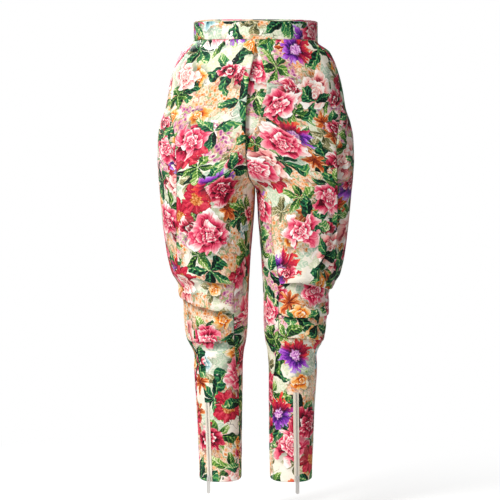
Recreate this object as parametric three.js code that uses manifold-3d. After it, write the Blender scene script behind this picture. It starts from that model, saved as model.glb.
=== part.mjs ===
// Jodhpurs: high-waisted riding-cut trousers, held up at the waist as when worn, with nobody in them.
// Full, winged thighs fall over three tucks at each knee into a narrow shin with an exposed zip at the hem.
// Millimetres, +Z up, -Y to the front, +X to the wearer's left. The origin is the middle of the waistband.
import * as THREE from "three";
import { mergeVertices } from "three/addons/utils/BufferGeometryUtils.js";
import Module from "manifold-3d";

const wasm = await Module();
wasm.setup();

// ---------------------------------------------------------------- driving sizes
const CLOTH = 1.4; // wall of the printed cloth
const BAND = 2.2; // wall of the folded, stiffened waistband
const SEAM = 0.3; // gap kept between neighbours at a seam
const BAND_HEIGHT = 41;
const BAND_TOP = 20.4; // top edge of the waistband at the sides
const FRONT_DIP = 6.5; // how much lower the waist sits at the centre front
const CROTCH = -335;
const HEM = -938;
const FRONT_COLUMNS = 12;
const BACK_COLUMNS = 10;
const TUCK_PITCH = 4; // spacing of a tuck's rows where it has opened out

const COLOURS = {
  print: 0xd98f86,
  tape: 0xe6dcc6,
  steel: 0xb9b7b2,
};

// The leg's ring at each level, as the reach of its four sides. Where inner is negative, the two
// legs' rings run together, and each is cut off at the middle of the body.
const RINGS = [
  { z: -20, outer: 130, inner: -130, front: 96, back: 92 },
  { z: -43, outer: 157, inner: -157, front: 103, back: 104 },
  { z: -88, outer: 175, inner: -175, front: 110, back: 119 },
  { z: -126, outer: 183.5, inner: -182, front: 113, back: 128 },
  { z: -160, outer: 189, inner: -174, front: 115, back: 132 },
  { z: -190, outer: 199.5, inner: -158, front: 116.5, back: 133 },
  { z: -223, outer: 205, inner: -132, front: 117.5, back: 131 },
  { z: -271, outer: 206.5, inner: -84, front: 117, back: 126 },
  { z: -305, outer: 204.5, inner: -42, front: 115, back: 120 },
  { z: -335, outer: 201.5, inner: 0.5, front: 112, back: 113 },
  { z: -384, outer: 197, inner: 3.5, front: 108, back: 105 },
  { z: -437, outer: 190.5, inner: 8, front: 104, back: 97 },
  { z: -475, outer: 184.5, inner: 11, front: 99, back: 91 },
  { z: -507, outer: 175.5, inner: 12.5, front: 95, back: 87 },
  { z: -520, outer: 166, inner: 13.5, front: 91, back: 84 },
  { z: -536, outer: 155.5, inner: 14, front: 87, back: 81 },
  { z: -552, outer: 155, inner: 15, front: 84, back: 78 },
  { z: -585, outer: 151.5, inner: 16, front: 80, back: 75 },
  { z: -623, outer: 147, inner: 17.5, front: 75, back: 73 },
  { z: -647, outer: 141, inner: 20, front: 70, back: 71 },
  { z: -665, outer: 132, inner: 24, front: 64, back: 69 },
  { z: -677, outer: 128, inner: 25.5, front: 61, back: 68 },
  { z: -700, outer: 129, inner: 27, front: 60, back: 68 },
  { z: -774, outer: 124.5, inner: 28, front: 56, back: 66 },
  { z: -858, outer: 121, inner: 28.5, front: 49, back: 56 },
  { z: -938, outer: 118.5, inner: 29.5, front: 44, back: 48 },
];

// Where the side seam and the inside-leg seam cross the front of the ring, as a reach in x.
const SIDE_SEAM = [
  { z: -20, x: 129.5 },
  { z: -88, x: 172 },
  { z: -160, x: 178 },
  { z: -223, x: 168 },
  { z: -300, x: 163 },
  { z: -437, x: 164 },
  { z: -507, x: 158 },
  { z: -552, x: 146 },
  { z: -623, x: 142 },
  { z: -677, x: 124 },
  { z: -774, x: 123 },
  { z: -938, x: 118 },
];
const INSIDE_SEAM = {
  left: [
    { z: -335, x: 0.5 },
    { z: -375, x: 18 },
    { z: -420, x: 30 },
    { z: -470, x: 38 },
    { z: -525, x: 46 },
    { z: -630, x: 46 },
    { z: -690, x: 40 },
    { z: -740, x: 34 },
    { z: -938, x: 34 },
  ],
  right: [
    { z: -335, x: 0.5 },
    { z: -360, x: 8 },
    { z: -418, x: 10 },
    { z: -470, x: 22 },
    { z: -500, x: 38 },
    { z: -540, x: 44 },
    { z: -630, x: 44 },
    { z: -690, x: 40 },
    { z: -740, x: 34 },
    { z: -938, x: 34 },
  ],
};

// The centre-front seam swings to the wearer's right on its way down, and the pleat's underlay
// opens beside it, to the width given.
const CENTRE_SEAM = [
  { z: -20, shift: 0, underlay: 1.5 },
  { z: -43, shift: -2, underlay: 3 },
  { z: -65, shift: -4.5, underlay: 13.5 },
  { z: -88, shift: -10, underlay: 24 },
  { z: -110, shift: -14, underlay: 30 },
  { z: -135, shift: -16.5, underlay: 31.5 },
  { z: -160, shift: -18.7, underlay: 26 },
  { z: -200, shift: -20.6, underlay: 20 },
  { z: -235, shift: -21, underlay: 8 },
  { z: -262, shift: -20, underlay: 1.5 },
  { z: -305, shift: -15, underlay: 0 },
  { z: -335, shift: 0, underlay: 0 },
];
const CENTRE_REACH = 70; // the seam's swing has died out at this distance from it
const UNDERLAY_END = -262;
const UNDERLAY_RECESS = 1.6;

// The tucks at the knee, from the top down. Each has its line's level, and how strongly it is folded
// there, at even steps of the turn round the leg from its outside to the inside-leg seam. Nominal is
// the level at which the tuck reads the rings' seams, depth is how far the upper layer stands out,
// and lap is how far it hangs over the lower one.
const TUCKS = {
  left: [
    {
      nominal: -524, depth: 7, lap: 10,
      levels: [-533, -535, -527, -520, -524], folded: [0.6, 0.8, 0.9, 1, 0.6],
    },
    {
      nominal: -580, depth: 6, lap: 10,
      levels: [-588, -590, -592, -591, -587], folded: [0.3, 0.6, 0.8, 0.9, 0.5],
    },
    {
      nominal: -640, depth: 6, lap: 9,
      levels: [-646, -642, -638, -634, -629], folded: [0.2, 0.4, 0.6, 0.8, 0.5],
    },
  ],
  right: [
    {
      nominal: -524, depth: 6, lap: 9,
      levels: [-500, -505, -513, -521, -527], folded: [0, 0, 0.5, 1, 0.6],
    },
    {
      nominal: -580, depth: 8, lap: 12,
      levels: [-536, -553, -568, -577, -579], folded: [0.6, 0.9, 1, 1, 0.5],
    },
    {
      nominal: -640, depth: 6, lap: 9,
      levels: [-646, -646, -644, -641, -637], folded: [0.1, 0.3, 0.6, 0.9, 0.5],
    },
  ],
};
const TUCK_TURN = 2.2; // the turn that the tucks' tables cover
const TUCK_FADE = 0.75; // past the outside of the leg, a tuck dies out over this turn
const INSIDE_FADE = 0.4; // and past the inside-leg seam over this one
// A tuck's section from its top row down: along is in laps, out is in depths.
const TUCK_SECTION = [
  { along: 1.3, out: 0.55 },
  { along: 0.0, out: 1.0 },
  { along: -0.5, out: 0.8 },
  { along: 0.3, out: 0.36 },
  { along: 0.45, out: 0.0 },
  { along: -1.0, out: 0.0 },
];
const STEADY_ABOVE = -425; // the tucks no longer move the rows above this level
const STEADY_BELOW = -715; // nor below this one

// Levels of the panels' rows where there is no tuck.
const UPPER_LEVELS = [
  -43, -65, -88, -110, -135, -160, -200, -235, -262, -285, -305, -320, -330, -335, -355, -390,
  -430, -470, -500,
];
const LOWER_LEVELS = [-677, -700, -740, -790, -840, -890, HEM];

// The exposed zips: where each starts, and its reach in x at its top and at the hem.
const ZIPS = {
  left: { top: -751, topX: 82.5, hemX: 85 },
  right: { top: -773, topX: 100.5, hemX: 95 },
};
const ZIP = {
  tapeWidth: 5.6, // of each of the two tapes
  tape: 0.6,
  chainWidth: 4.6,
  chain: 1.3,
  slit: 1.6, // opening in the cloth under the chain
  sliderAboveHem: 9,
};
const HEM_SLIDER = { width: 8.4, height: 10, thick: 2.4 };
const HEM_PULL = { width: 8, length: 33 };
const BACK_SLIDER = { width: 5.4, height: 9, thick: 1.8 };
const BACK_PULL = { width: 5.2, length: 20 };
const BRIDGE = { width: 1.8, inner: 6, outer: 8.2, gap: 2.9, bar: 1.1 };
const PULL_THICK = 1.2;
const PULL_BAR = 0.7; // half height of the bar that turns under the bridge
const WINDOW = { width: 2.9, length: 7.2 };

// ---------------------------------------------------------------- curves from the tables
// A smooth curve through a table's column, flat past its ends, that never overshoots its rows.
function read(table, column, z) {
  const last = table.length - 1;
  if (z >= table[0].z) return table[0][column];
  if (z <= table[last].z) return table[last][column];
  let i = 0;
  while (z < table[i + 1].z) i++;
  const slope = (k) => {
    if (k < 0 || k >= last) return 0;
    return (table[k + 1][column] - table[k][column]) / (table[k + 1].z - table[k].z);
  };
  const tangent = (k) => {
    const [before, after] = [slope(k - 1), slope(k)];
    if (before * after <= 0) return 0;
    return (2 * before * after) / (before + after);
  };
  const step = table[i + 1].z - table[i].z;
  const t = (z - table[i].z) / step;
  const [a, b] = [table[i][column], table[i + 1][column]];
  const [ta, tb] = [tangent(i) * step, tangent(i + 1) * step];
  return (
    a * (2 * t ** 3 - 3 * t ** 2 + 1) +
    ta * (t ** 3 - 2 * t ** 2 + t) +
    b * (3 * t ** 2 - 2 * t ** 3) +
    tb * (t ** 3 - t ** 2)
  );
}

const clamp = (v, low, high) => Math.min(high, Math.max(low, v));
const smooth = (t) => {
  const s = clamp(t, 0, 1);
  return s * s * (3 - 2 * s);
};

// ---------------------------------------------------------------- the body of the garment
// The wearer's left leg, as a ring at each level: phi is 0 at the outside of the leg, a quarter
// turn at its front, a half at its inside and three quarters at its back.
function ring(z) {
  const outer = read(RINGS, "outer", z);
  const inner = read(RINGS, "inner", z);
  return {
    centre: (outer + inner) / 2,
    half: (outer - inner) / 2,
    front: read(RINGS, "front", z),
    back: read(RINGS, "back", z),
  };
}

// The angle at which the front of the ring crosses the given x.
function angleAt(z, x) {
  const { centre, half } = ring(z);
  return Math.acos(clamp((x - centre) / half, -1, 1));
}

// A turn about the leg that moves a point on the ring by the given distance.
function turnFor(z, phi, distance) {
  const { half, front } = ring(z);
  return distance / Math.hypot(half * Math.sin(phi), front * Math.cos(phi));
}

// A point of the left leg's surface, moved out by out, in the garment's own frame.
function onLeg(z, phi, out = 0) {
  const { centre, half, front, back } = ring(z);
  const depth = Math.sin(phi) >= 0 ? front : back;
  const normal = new THREE.Vector2(Math.cos(phi) / half, -Math.sin(phi) / depth).normalize();
  return new THREE.Vector3(
    centre + half * Math.cos(phi) + normal.x * out,
    -depth * Math.sin(phi) + normal.y * out,
    z,
  );
}

// Moves a point near the centre front sideways with the seam.
function swing(p, mirrored) {
  const shift = read(CENTRE_SEAM, "shift", p.z) * (mirrored ? -1 : 1);
  const near = (1 - clamp(Math.abs(p.x) / CENTRE_REACH, 0, 1) ** 2) ** 2;
  const inFront = smooth(-p.y / 40);
  return p.setX(p.x + shift * near * inFront);
}

// The lower edge of the waistband: level at the sides and back, and lower at the front.
function waistLevel(phi, edge) {
  return edge - FRONT_DIP * Math.max(0, Math.sin(phi)) ** 2;
}

// ---------------------------------------------------------------- rows of a panel
// Each row has a level, the level at which it reads the seams' places, which all the rows of a
// tuck share, and in a tuck its place in the tuck's section.
function panelRows(side) {
  const tucks = TUCKS[side];
  const middle = (TUCK_SECTION.length - 1) / 2;
  const folded = tucks.flatMap((tuck, t) =>
    TUCK_SECTION.map((section, i) => ({
      z: tuck.nominal + (middle - i) * TUCK_PITCH,
      seam: tuck.nominal,
      tuck: t,
      section,
    })),
  );
  const waist = BAND_TOP - BAND_HEIGHT - SEAM;
  return [
    { z: waist, seam: waist, waist: true },
    ...UPPER_LEVELS.map((z) => ({ z, seam: z })),
    ...folded,
    ...LOWER_LEVELS.map((z) => ({ z, seam: z })),
  ];
}

// A column of a tuck's table at angle phi.
function alongTuck(column, phi) {
  const last = column.length - 1;
  const at = clamp(phi / TUCK_TURN, 0, 1) * last;
  const i = Math.min(Math.floor(at), last - 1);
  return column[i] + (column[i + 1] - column[i]) * smooth(at - i);
}

// The drift of the rows between the tucks, which dies out above and below them.
function drift(side, z, phi) {
  if (z >= STEADY_ABOVE || z <= STEADY_BELOW) return 0;
  const stops = [
    { z: STEADY_ABOVE, by: 0 },
    ...TUCKS[side].map(({ nominal, levels }) => ({
      z: nominal,
      by: alongTuck(levels, phi) - nominal,
    })),
    { z: STEADY_BELOW, by: 0 },
  ];
  const i = stops.findIndex((stop) => stop.z < z) - 1;
  const t = (z - stops[i].z) / (stops[i + 1].z - stops[i].z);
  return stops[i].by + (stops[i + 1].by - stops[i].by) * t;
}

// How strongly a tuck is folded at angle phi. None is folded round the back.
function tuckStrength(tuck, phi) {
  const fromBack = smooth(1 + phi / TUCK_FADE);
  const wrapped = 1 - smooth((phi - TUCK_TURN) / INSIDE_FADE);
  return alongTuck(tuck.folded, phi) * fromBack * wrapped;
}

function place(side, row, phi) {
  const across = phi > Math.PI * 1.2 ? phi - 2 * Math.PI : phi;
  if (row.waist) return onLeg(waistLevel(phi, row.z), phi);
  const z = row.z + drift(side, row.z, across);
  if (!row.section) return onLeg(z, phi);
  const tuck = TUCKS[side][row.tuck];
  const strength = tuckStrength(tuck, across);
  const line = alongTuck(tuck.levels, across);
  const level = z + (line + row.section.along * tuck.lap - z) * strength;
  return onLeg(level, phi, row.section.out * tuck.depth * strength);
}

// ---------------------------------------------------------------- solids
function solidFrom(points, triangles) {
  const geometry = new THREE.BufferGeometry();
  const position = new Float32Array(points.length * 3);
  points.forEach((p, i) => p.toArray(position, i * 3));
  let volume = 0;
  for (const [a, b, c] of triangles) {
    volume += points[a].dot(new THREE.Vector3().crossVectors(points[b], points[c]));
  }
  const facing = volume < 0 ? triangles.map(([a, b, c]) => [a, c, b]) : triangles;
  geometry.setAttribute("position", new THREE.BufferAttribute(position, 3));
  geometry.setIndex(facing.flat());
  return geometry;
}

const quad = (a, b, c, d) => [[a, b, c], [a, c, d]];

// A wall of cloth. The surface is a function of a row and an angle, each row runs over its own
// angles, and the surface is read past their ends so that neighbours share their normals.
function wall(rows, angles, surface, thick, inward = 1) {
  const [m, n] = [rows.length, angles[0].length];
  const step = 0.02;
  const at = (i, phi) => surface(rows[clamp(i, 0, m - 1)], phi);
  const outer = rows.map((row, i) => angles[i].map((phi) => surface(row, phi)));
  const inner = rows.map((row, i) =>
    angles[i].map((phi, j) => {
      const down = at(i + 1, phi).sub(at(i - 1, phi));
      const along = at(i, phi + step).sub(at(i, phi - step));
      return outer[i][j].clone().addScaledVector(down.cross(along).normalize(), thick * inward);
    }),
  );
  const points = [...outer.flat(), ...inner.flat()];
  const out = (i, j) => i * n + j;
  const back = (i, j) => m * n + i * n + j;
  const triangles = [];
  for (let i = 0; i + 1 < m; i++) {
    for (let j = 0; j + 1 < n; j++) {
      triangles.push(...quad(out(i, j), out(i + 1, j), out(i + 1, j + 1), out(i, j + 1)));
      triangles.push(...quad(back(i, j), back(i, j + 1), back(i + 1, j + 1), back(i + 1, j)));
    }
    triangles.push(...quad(out(i, 0), back(i, 0), back(i + 1, 0), out(i + 1, 0)));
    triangles.push(...quad(out(i, n - 1), out(i + 1, n - 1), back(i + 1, n - 1), back(i, n - 1)));
  }
  for (let j = 0; j + 1 < n; j++) {
    triangles.push(...quad(out(0, j), out(0, j + 1), back(0, j + 1), back(0, j)));
    triangles.push(...quad(out(m - 1, j), back(m - 1, j), back(m - 1, j + 1), out(m - 1, j + 1)));
  }
  return solidFrom(points, triangles);
}

function toManifold(geometry) {
  const bare = geometry.index ? geometry.toNonIndexed() : geometry.clone();
  bare.deleteAttribute("normal");
  bare.deleteAttribute("uv");
  const merged = mergeVertices(bare, 1e-4);
  return new wasm.Manifold(
    new wasm.Mesh({
      numProp: 3,
      vertProperties: merged.attributes.position.array,
      triVerts: new Uint32Array(merged.index.array),
    }),
  );
}

function fromManifold(solid) {
  const { vertProperties, triVerts } = solid.getMesh();
  const geometry = new THREE.BufferGeometry();
  geometry.setAttribute("position", new THREE.BufferAttribute(new Float32Array(vertProperties), 3));
  geometry.setIndex(new THREE.BufferAttribute(new Uint32Array(triVerts), 1));
  return geometry;
}

const material = (color, roughness, metalness) =>
  new THREE.MeshStandardMaterial({ color, roughness, metalness, flatShading: true });
const PRINT = material(COLOURS.print, 0.55, 0);
const TAPE = material(COLOURS.tape, 0.8, 0);
const STEEL = material(COLOURS.steel, 0.3, 1);

const jodhpurs = new THREE.Group();

function add(name, geometry, finish, parent = jodhpurs) {
  const mesh = new THREE.Mesh(geometry, finish);
  mesh.name = name;
  parent.add(mesh);
  return mesh;
}

const mirror = (side, p) => (side === "left" ? p : p.setX(-p.x));
const inwardOf = (side) => (side === "left" ? 1 : -1);
const spread = (from, to, columns) =>
  Array.from({ length: columns + 1 }, (_, j) => from + ((to - from) * j) / columns);
const surfaceOf = (side) => (row, phi) =>
  mirror(side, swing(place(side, row, phi), side === "right"));

// ---------------------------------------------------------------- fronts, backs and underlay
// Each panel's edges, as angles on the ring at a level.
const sideEdge = (z, gap) => {
  const phi = angleAt(z, read(SIDE_SEAM, "x", z));
  return phi + turnFor(z, phi, gap);
};

function frontEdge(side, z, gap) {
  const x = z > CROTCH ? gap : read(INSIDE_SEAM[side], "x", z);
  const phi = angleAt(z, x);
  return z > CROTCH ? phi : phi - turnFor(z, phi, gap);
}

const underlayEdge = (z, gap) => angleAt(z, read(CENTRE_SEAM, "underlay", z) + gap);

function frontPanel(side) {
  const rows = panelRows(side);
  const angles = rows.map(({ seam: z }) => {
    const besideUnderlay = side === "left" && z >= UNDERLAY_END;
    const to = besideUnderlay ? underlayEdge(z, SEAM) : frontEdge(side, z, SEAM / 2);
    return spread(sideEdge(z, SEAM / 2), to, FRONT_COLUMNS);
  });
  return wall(rows, angles, surfaceOf(side), CLOTH, inwardOf(side));
}

function backPanel(side) {
  const rows = panelRows(side);
  const angles = rows.map(({ seam: z }) => {
    const inside = angleAt(z, read(INSIDE_SEAM[side], "x", z));
    const to =
      z > CROTCH
        ? 2 * Math.PI - frontEdge(side, z, SEAM / 2)
        : inside + turnFor(z, inside, SEAM / 2);
    return spread(2 * Math.PI + sideEdge(z, -SEAM / 2), to, BACK_COLUMNS);
  });
  return wall(rows, angles, surfaceOf(side), CLOTH, inwardOf(side));
}

function pleatUnderlay() {
  const rows = panelRows("left").filter(({ z }) => z >= UNDERLAY_END);
  const angles = rows.map(({ z }) => {
    const from = angleAt(z, read(CENTRE_SEAM, "underlay", z));
    return spread(from, angleAt(z, SEAM / 2), 3);
  });
  const surface = (row, phi) => {
    const level = row.waist ? waistLevel(phi, row.z) : row.z;
    return swing(onLeg(level, phi, -UNDERLAY_RECESS), false);
  };
  return wall(rows, angles, surface, CLOTH);
}

// A straight slit in the cloth, from the hem to the top of the zip.
function slitCutter(side) {
  const zip = ZIPS[side];
  const past = 6; // the cutter runs past both faces and past the hem
  const levels = [zip.top - 2, HEM - past];
  const points = [];
  for (const z of levels) {
    const phi = zipAngle(side, Math.max(z, HEM));
    const turn = turnFor(z, phi, ZIP.slit / 2);
    for (const [by, out] of [[turn, past], [-turn, past], [-turn, -past], [turn, -past]]) {
      points.push(mirror(side, onLeg(Math.max(z, HEM), phi + by, out).setZ(z)));
    }
  }
  const triangles = [
    ...quad(0, 1, 2, 3),
    ...quad(7, 6, 5, 4),
    ...[0, 1, 2, 3].flatMap((i) => quad(i, 4 + i, 4 + ((i + 1) % 4), (i + 1) % 4)),
  ];
  return solidFrom(points, triangles);
}

// ---------------------------------------------------------------- waistband
// Part of the waistband between two angles. The ring there is one oval round the whole waist.
function waistband(from, to, columns, side = "left") {
  const levels = [BAND_TOP, BAND_TOP - BAND_HEIGHT / 2, BAND_TOP - BAND_HEIGHT];
  const surface = (z, phi) =>
    mirror(side, onLeg(-20, phi, z < 0 ? 0.4 : 0).setZ(waistLevel(phi, z)));
  const angles = levels.map(() => spread(from, to, columns));
  return wall(levels, angles, surface, BAND, inwardOf(side));
}

// ---------------------------------------------------------------- zips
function zipAngle(side, z) {
  const zip = ZIPS[side];
  const t = (z - zip.top) / (HEM - zip.top);
  return angleAt(z, zip.topX + (zip.hemX - zip.topX) * t);
}

// A flat strip down the zip, between two distances from its line and two heights off the cloth.
function zipStrip(side, levels, low, high, off, thick) {
  const steps = levels.length - 1;
  const points = [];
  for (const z of levels) {
    const phi = zipAngle(side, z);
    const corner = (across, out) =>
      mirror(side, onLeg(z, phi - turnFor(z, phi, across), out));
    points.push(
      corner(low, off + thick),
      corner(high, off + thick),
      corner(high, off),
      corner(low, off),
    );
  }
  const triangles = [...quad(0, 1, 2, 3)];
  for (let i = 0; i < steps; i++) {
    for (let k = 0; k < 4; k++) {
      const next = (k + 1) % 4;
      triangles.push(...quad(i * 4 + k, i * 4 + 4 + k, i * 4 + 4 + next, i * 4 + next));
    }
  }
  const last = steps * 4;
  triangles.push(...quad(last + 3, last + 2, last + 1, last));
  return solidFrom(points, triangles);
}

function roundedPlate(width, height, radius, thick) {
  const [w, h] = [width / 2, height / 2];
  const shape = new THREE.Shape();
  shape.moveTo(-w + radius, -h);
  shape.lineTo(w - radius, -h);
  shape.absarc(w - radius, -h + radius, radius, -Math.PI / 2, 0);
  shape.lineTo(w, h - radius);
  shape.absarc(w - radius, h - radius, radius, 0, Math.PI / 2);
  shape.lineTo(-w + radius, h);
  shape.absarc(-w + radius, h - radius, radius, Math.PI / 2, Math.PI);
  shape.lineTo(-w, -h + radius);
  shape.absarc(-w + radius, -h + radius, radius, Math.PI, Math.PI * 1.5);
  const plate = new THREE.ExtrudeGeometry(shape, {
    depth: thick,
    bevelEnabled: false,
    curveSegments: 4,
  });
  // From the shape's plane to the garment's: the plate stands upright, its front face to -Y.
  return plate.rotateX(Math.PI / 2);
}

// The slider's shell with the bridge that the pull turns under. Its front face lies at y = 0 and
// the bridge stands out of it.
function sliderGeometry({ width, height, thick }) {
  const shell = roundedPlate(width, height, 1.6, thick).translate(0, thick, 0);
  const arch = new THREE.Shape();
  const [inner, outer, reach] = [BRIDGE.inner / 2, BRIDGE.outer / 2, BRIDGE.gap + BRIDGE.bar];
  arch.moveTo(-0.4, -outer);
  arch.lineTo(reach - 1, -outer);
  arch.lineTo(reach, -outer + 1);
  arch.lineTo(reach, outer - 1);
  arch.lineTo(reach - 1, outer);
  arch.lineTo(-0.4, outer);
  arch.lineTo(-0.4, inner);
  arch.lineTo(BRIDGE.gap, inner);
  arch.lineTo(BRIDGE.gap, -inner);
  arch.lineTo(-0.4, -inner);
  arch.closePath();
  const bridge = new THREE.ExtrudeGeometry(arch, { depth: BRIDGE.width, bevelEnabled: false });
  // The shape's x runs out of the face and its y runs up the zip.
  const basis = new THREE.Matrix4().makeBasis(
    new THREE.Vector3(0, -1, 0),
    new THREE.Vector3(0, 0, 1),
    new THREE.Vector3(-1, 0, 0),
  );
  bridge.applyMatrix4(basis).translate(BRIDGE.width / 2, 0, 0);
  return fromManifold(toManifold(shell).add(toManifold(bridge)));
}

// The pull hangs from the bar over its window. Its own origin is the line that it turns about.
function pullGeometry({ width, length }) {
  const w = width / 2;
  const shape = new THREE.Shape();
  shape.moveTo(-w + 0.8, PULL_BAR);
  shape.lineTo(w - 0.8, PULL_BAR);
  shape.lineTo(w, -0.4);
  shape.absarc(0, -length + w, w, 0, -Math.PI, true);
  shape.lineTo(-w, -0.4);
  shape.closePath();
  const hole = new THREE.Path();
  const half = Math.min(WINDOW.width, width - 2) / 2;
  hole.moveTo(-half, -PULL_BAR);
  hole.lineTo(-half, -WINDOW.length);
  hole.lineTo(half, -WINDOW.length);
  hole.lineTo(half, -PULL_BAR);
  hole.closePath();
  shape.holes.push(hole);
  const plate = new THREE.ExtrudeGeometry(shape, {
    depth: PULL_THICK,
    bevelEnabled: false,
    curveSegments: 10,
  });
  return plate.rotateX(Math.PI / 2).translate(0, PULL_THICK / 2, 0);
}

// A slider and its pull, set on the cloth at the given point and turned to face out.
function addSlider(prefix, at, turn, slider, pull) {
  const group = new THREE.Group();
  group.position.copy(at);
  group.rotation.z = turn;
  jodhpurs.add(group);
  add(prefix + "_slider", sliderGeometry(slider), STEEL, group);
  const tab = add(prefix + "_pull", pullGeometry(pull), STEEL, group);
  tab.position.y = -BRIDGE.gap / 2;
}

function addHemZip(side) {
  const zip = ZIPS[side];
  const name = "zip_" + side;
  const offCloth = 0.7;
  const offTape = offCloth + ZIP.tape + SEAM;
  const low = SEAM / 2;
  const sliderZ = HEM + ZIP.sliderAboveHem;
  const down = spread(zip.top, sliderZ + HEM_SLIDER.height / 2 + SEAM, 4);
  const whole = [...down, HEM + 0.4];
  const wide = low + ZIP.tapeWidth;
  const halfChain = ZIP.chainWidth / 2;
  add(name + "_tape_inner", zipStrip(side, whole, low, wide, offCloth, ZIP.tape), TAPE);
  add(name + "_tape_outer", zipStrip(side, whole, -wide, -low, offCloth, ZIP.tape), TAPE);
  add(name + "_chain", zipStrip(side, down, -halfChain, halfChain, offTape, ZIP.chain), STEEL);
  const phi = zipAngle(side, sliderZ);
  const seat = mirror(side, onLeg(sliderZ, phi, offTape + 0.35 + HEM_SLIDER.thick));
  const facing = seat.clone().sub(mirror(side, onLeg(sliderZ, phi)));
  const turn = Math.atan2(facing.x, -facing.y);
  addSlider(name, seat, turn, HEM_SLIDER, HEM_PULL);
}

// ---------------------------------------------------------------- the garment put together
for (const side of ["left", "right"]) {
  const uncut = toManifold(frontPanel(side));
  add("front_" + side, fromManifold(uncut.subtract(toManifold(slitCutter(side)))), PRINT);
  add("back_" + side, backPanel(side), PRINT);
  addHemZip(side);
}
add("front_pleat", pleatUnderlay(), PRINT);

const halfGap = SEAM / 2 / 130;
add("waistband_front", waistband(halfGap, Math.PI - halfGap, 16), PRINT);
add("waistband_back_left", waistband(-halfGap, -Math.PI / 2 + halfGap, 8), PRINT);
add("waistband_back_right", waistband(-halfGap, -Math.PI / 2 + halfGap, 8, "right"), PRINT);

// The back closes with a concealed zip in the centre-back seam, whose slider stops at the top of
// the waistband with its pull hanging outside.
const backSliderZ = BAND_TOP - 7;
const backSeat = new THREE.Vector3(0, read(RINGS, "back", -20) + SEAM + 0.2, backSliderZ);
backSeat.y += BACK_SLIDER.thick;
addSlider("back_zip", backSeat, Math.PI, BACK_SLIDER, BACK_PULL);

export default jodhpurs;
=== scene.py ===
"""Jodhpurs with winged thighs, tucked knees and a zip at each hem, as worn with nobody in them.

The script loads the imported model, covers its panels with fine cloth and gives every surface its
finish. Lengths in the tables are millimetres, and everything that Blender is given is in metres.
+Z is up, -Y is the front and +X is the wearer's left. The origin is the middle of the waist.
Both legs are made as the left leg's form, and the right one's pieces are mirrored.
"""

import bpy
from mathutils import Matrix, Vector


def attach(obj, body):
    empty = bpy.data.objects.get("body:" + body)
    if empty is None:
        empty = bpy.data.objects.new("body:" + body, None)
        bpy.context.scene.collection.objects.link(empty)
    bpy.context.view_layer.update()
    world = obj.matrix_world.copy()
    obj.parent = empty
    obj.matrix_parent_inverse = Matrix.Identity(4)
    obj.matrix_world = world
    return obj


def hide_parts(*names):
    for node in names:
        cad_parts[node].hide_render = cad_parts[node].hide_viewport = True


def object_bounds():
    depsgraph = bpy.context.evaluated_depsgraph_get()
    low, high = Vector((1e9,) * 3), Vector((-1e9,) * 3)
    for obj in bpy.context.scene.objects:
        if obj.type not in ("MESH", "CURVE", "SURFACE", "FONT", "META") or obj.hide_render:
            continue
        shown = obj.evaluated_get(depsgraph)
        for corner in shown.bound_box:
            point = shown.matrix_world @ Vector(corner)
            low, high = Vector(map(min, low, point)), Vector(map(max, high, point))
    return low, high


bl_info = {
    "name": "Floral jodhpurs",
    "version": (1, 0, 0),
    "blender": (4, 5, 0),
    "location": "3D View > Sidebar > Jodhpurs",
    "description": "Makes the cloth, zips and studio of a pair of jodhpurs",
    "category": "Object",
}

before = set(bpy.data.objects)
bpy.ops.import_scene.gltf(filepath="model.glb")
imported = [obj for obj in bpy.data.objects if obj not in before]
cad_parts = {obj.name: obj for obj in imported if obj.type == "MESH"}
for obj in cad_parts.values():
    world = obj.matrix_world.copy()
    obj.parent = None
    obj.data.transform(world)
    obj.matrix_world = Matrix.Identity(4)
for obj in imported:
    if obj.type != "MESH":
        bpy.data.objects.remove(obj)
CAD_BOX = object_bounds()

import math

import bpy
import bmesh
import numpy as np
from mathutils import Vector, noise

MM = 0.001
GARMENT = "garment"

# ------------------------------------------------------------------ the form's tables, millimetres

BAND_TOP = 20.4
BAND_HEIGHT = 41.0
BAND_BOTTOM = BAND_TOP - BAND_HEIGHT
FRONT_DIP = 6.5  # how much lower the waist sits at the centre front
FRONT_DIP_END = -43.0
SEAM_GAP = 0.3
CROTCH = -335.0
HEM = -938.0

# The left leg's oval at each level: its outer and inner reach from the centre line, then its reach
# to the front and to the back.
RINGS = (
    (-20, 130, -130, 96, 92), (-43, 157, -157, 103, 104), (-88, 175, -175, 110, 119),
    (-126, 183.5, -182, 113, 128), (-160, 189, -174, 115, 132), (-190, 199.5, -158, 116.5, 133),
    (-223, 205, -132, 117.5, 131), (-271, 206.5, -84, 117, 126), (-305, 204.5, -42, 115, 120),
    (-335, 201.5, 0.5, 112, 113), (-384, 197, 3.5, 108, 105), (-437, 190.5, 8, 104, 97),
    (-475, 184.5, 11, 99, 91), (-507, 175.5, 12.5, 95, 87), (-520, 166, 13.5, 91, 84),
    (-536, 155.5, 14, 87, 81), (-552, 155, 15, 84, 78), (-585, 151.5, 16, 80, 75),
    (-623, 147, 17.5, 75, 73), (-647, 141, 20, 70, 71), (-665, 132, 24, 64, 69), (-677, 128, 25.5, 61, 68),
    (-700, 129, 27, 60, 68), (-774, 124.5, 28, 56, 66), (-858, 121, 28.5, 49, 56),
    (-938, 118.5, 29.5, 44, 48),
)
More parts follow.
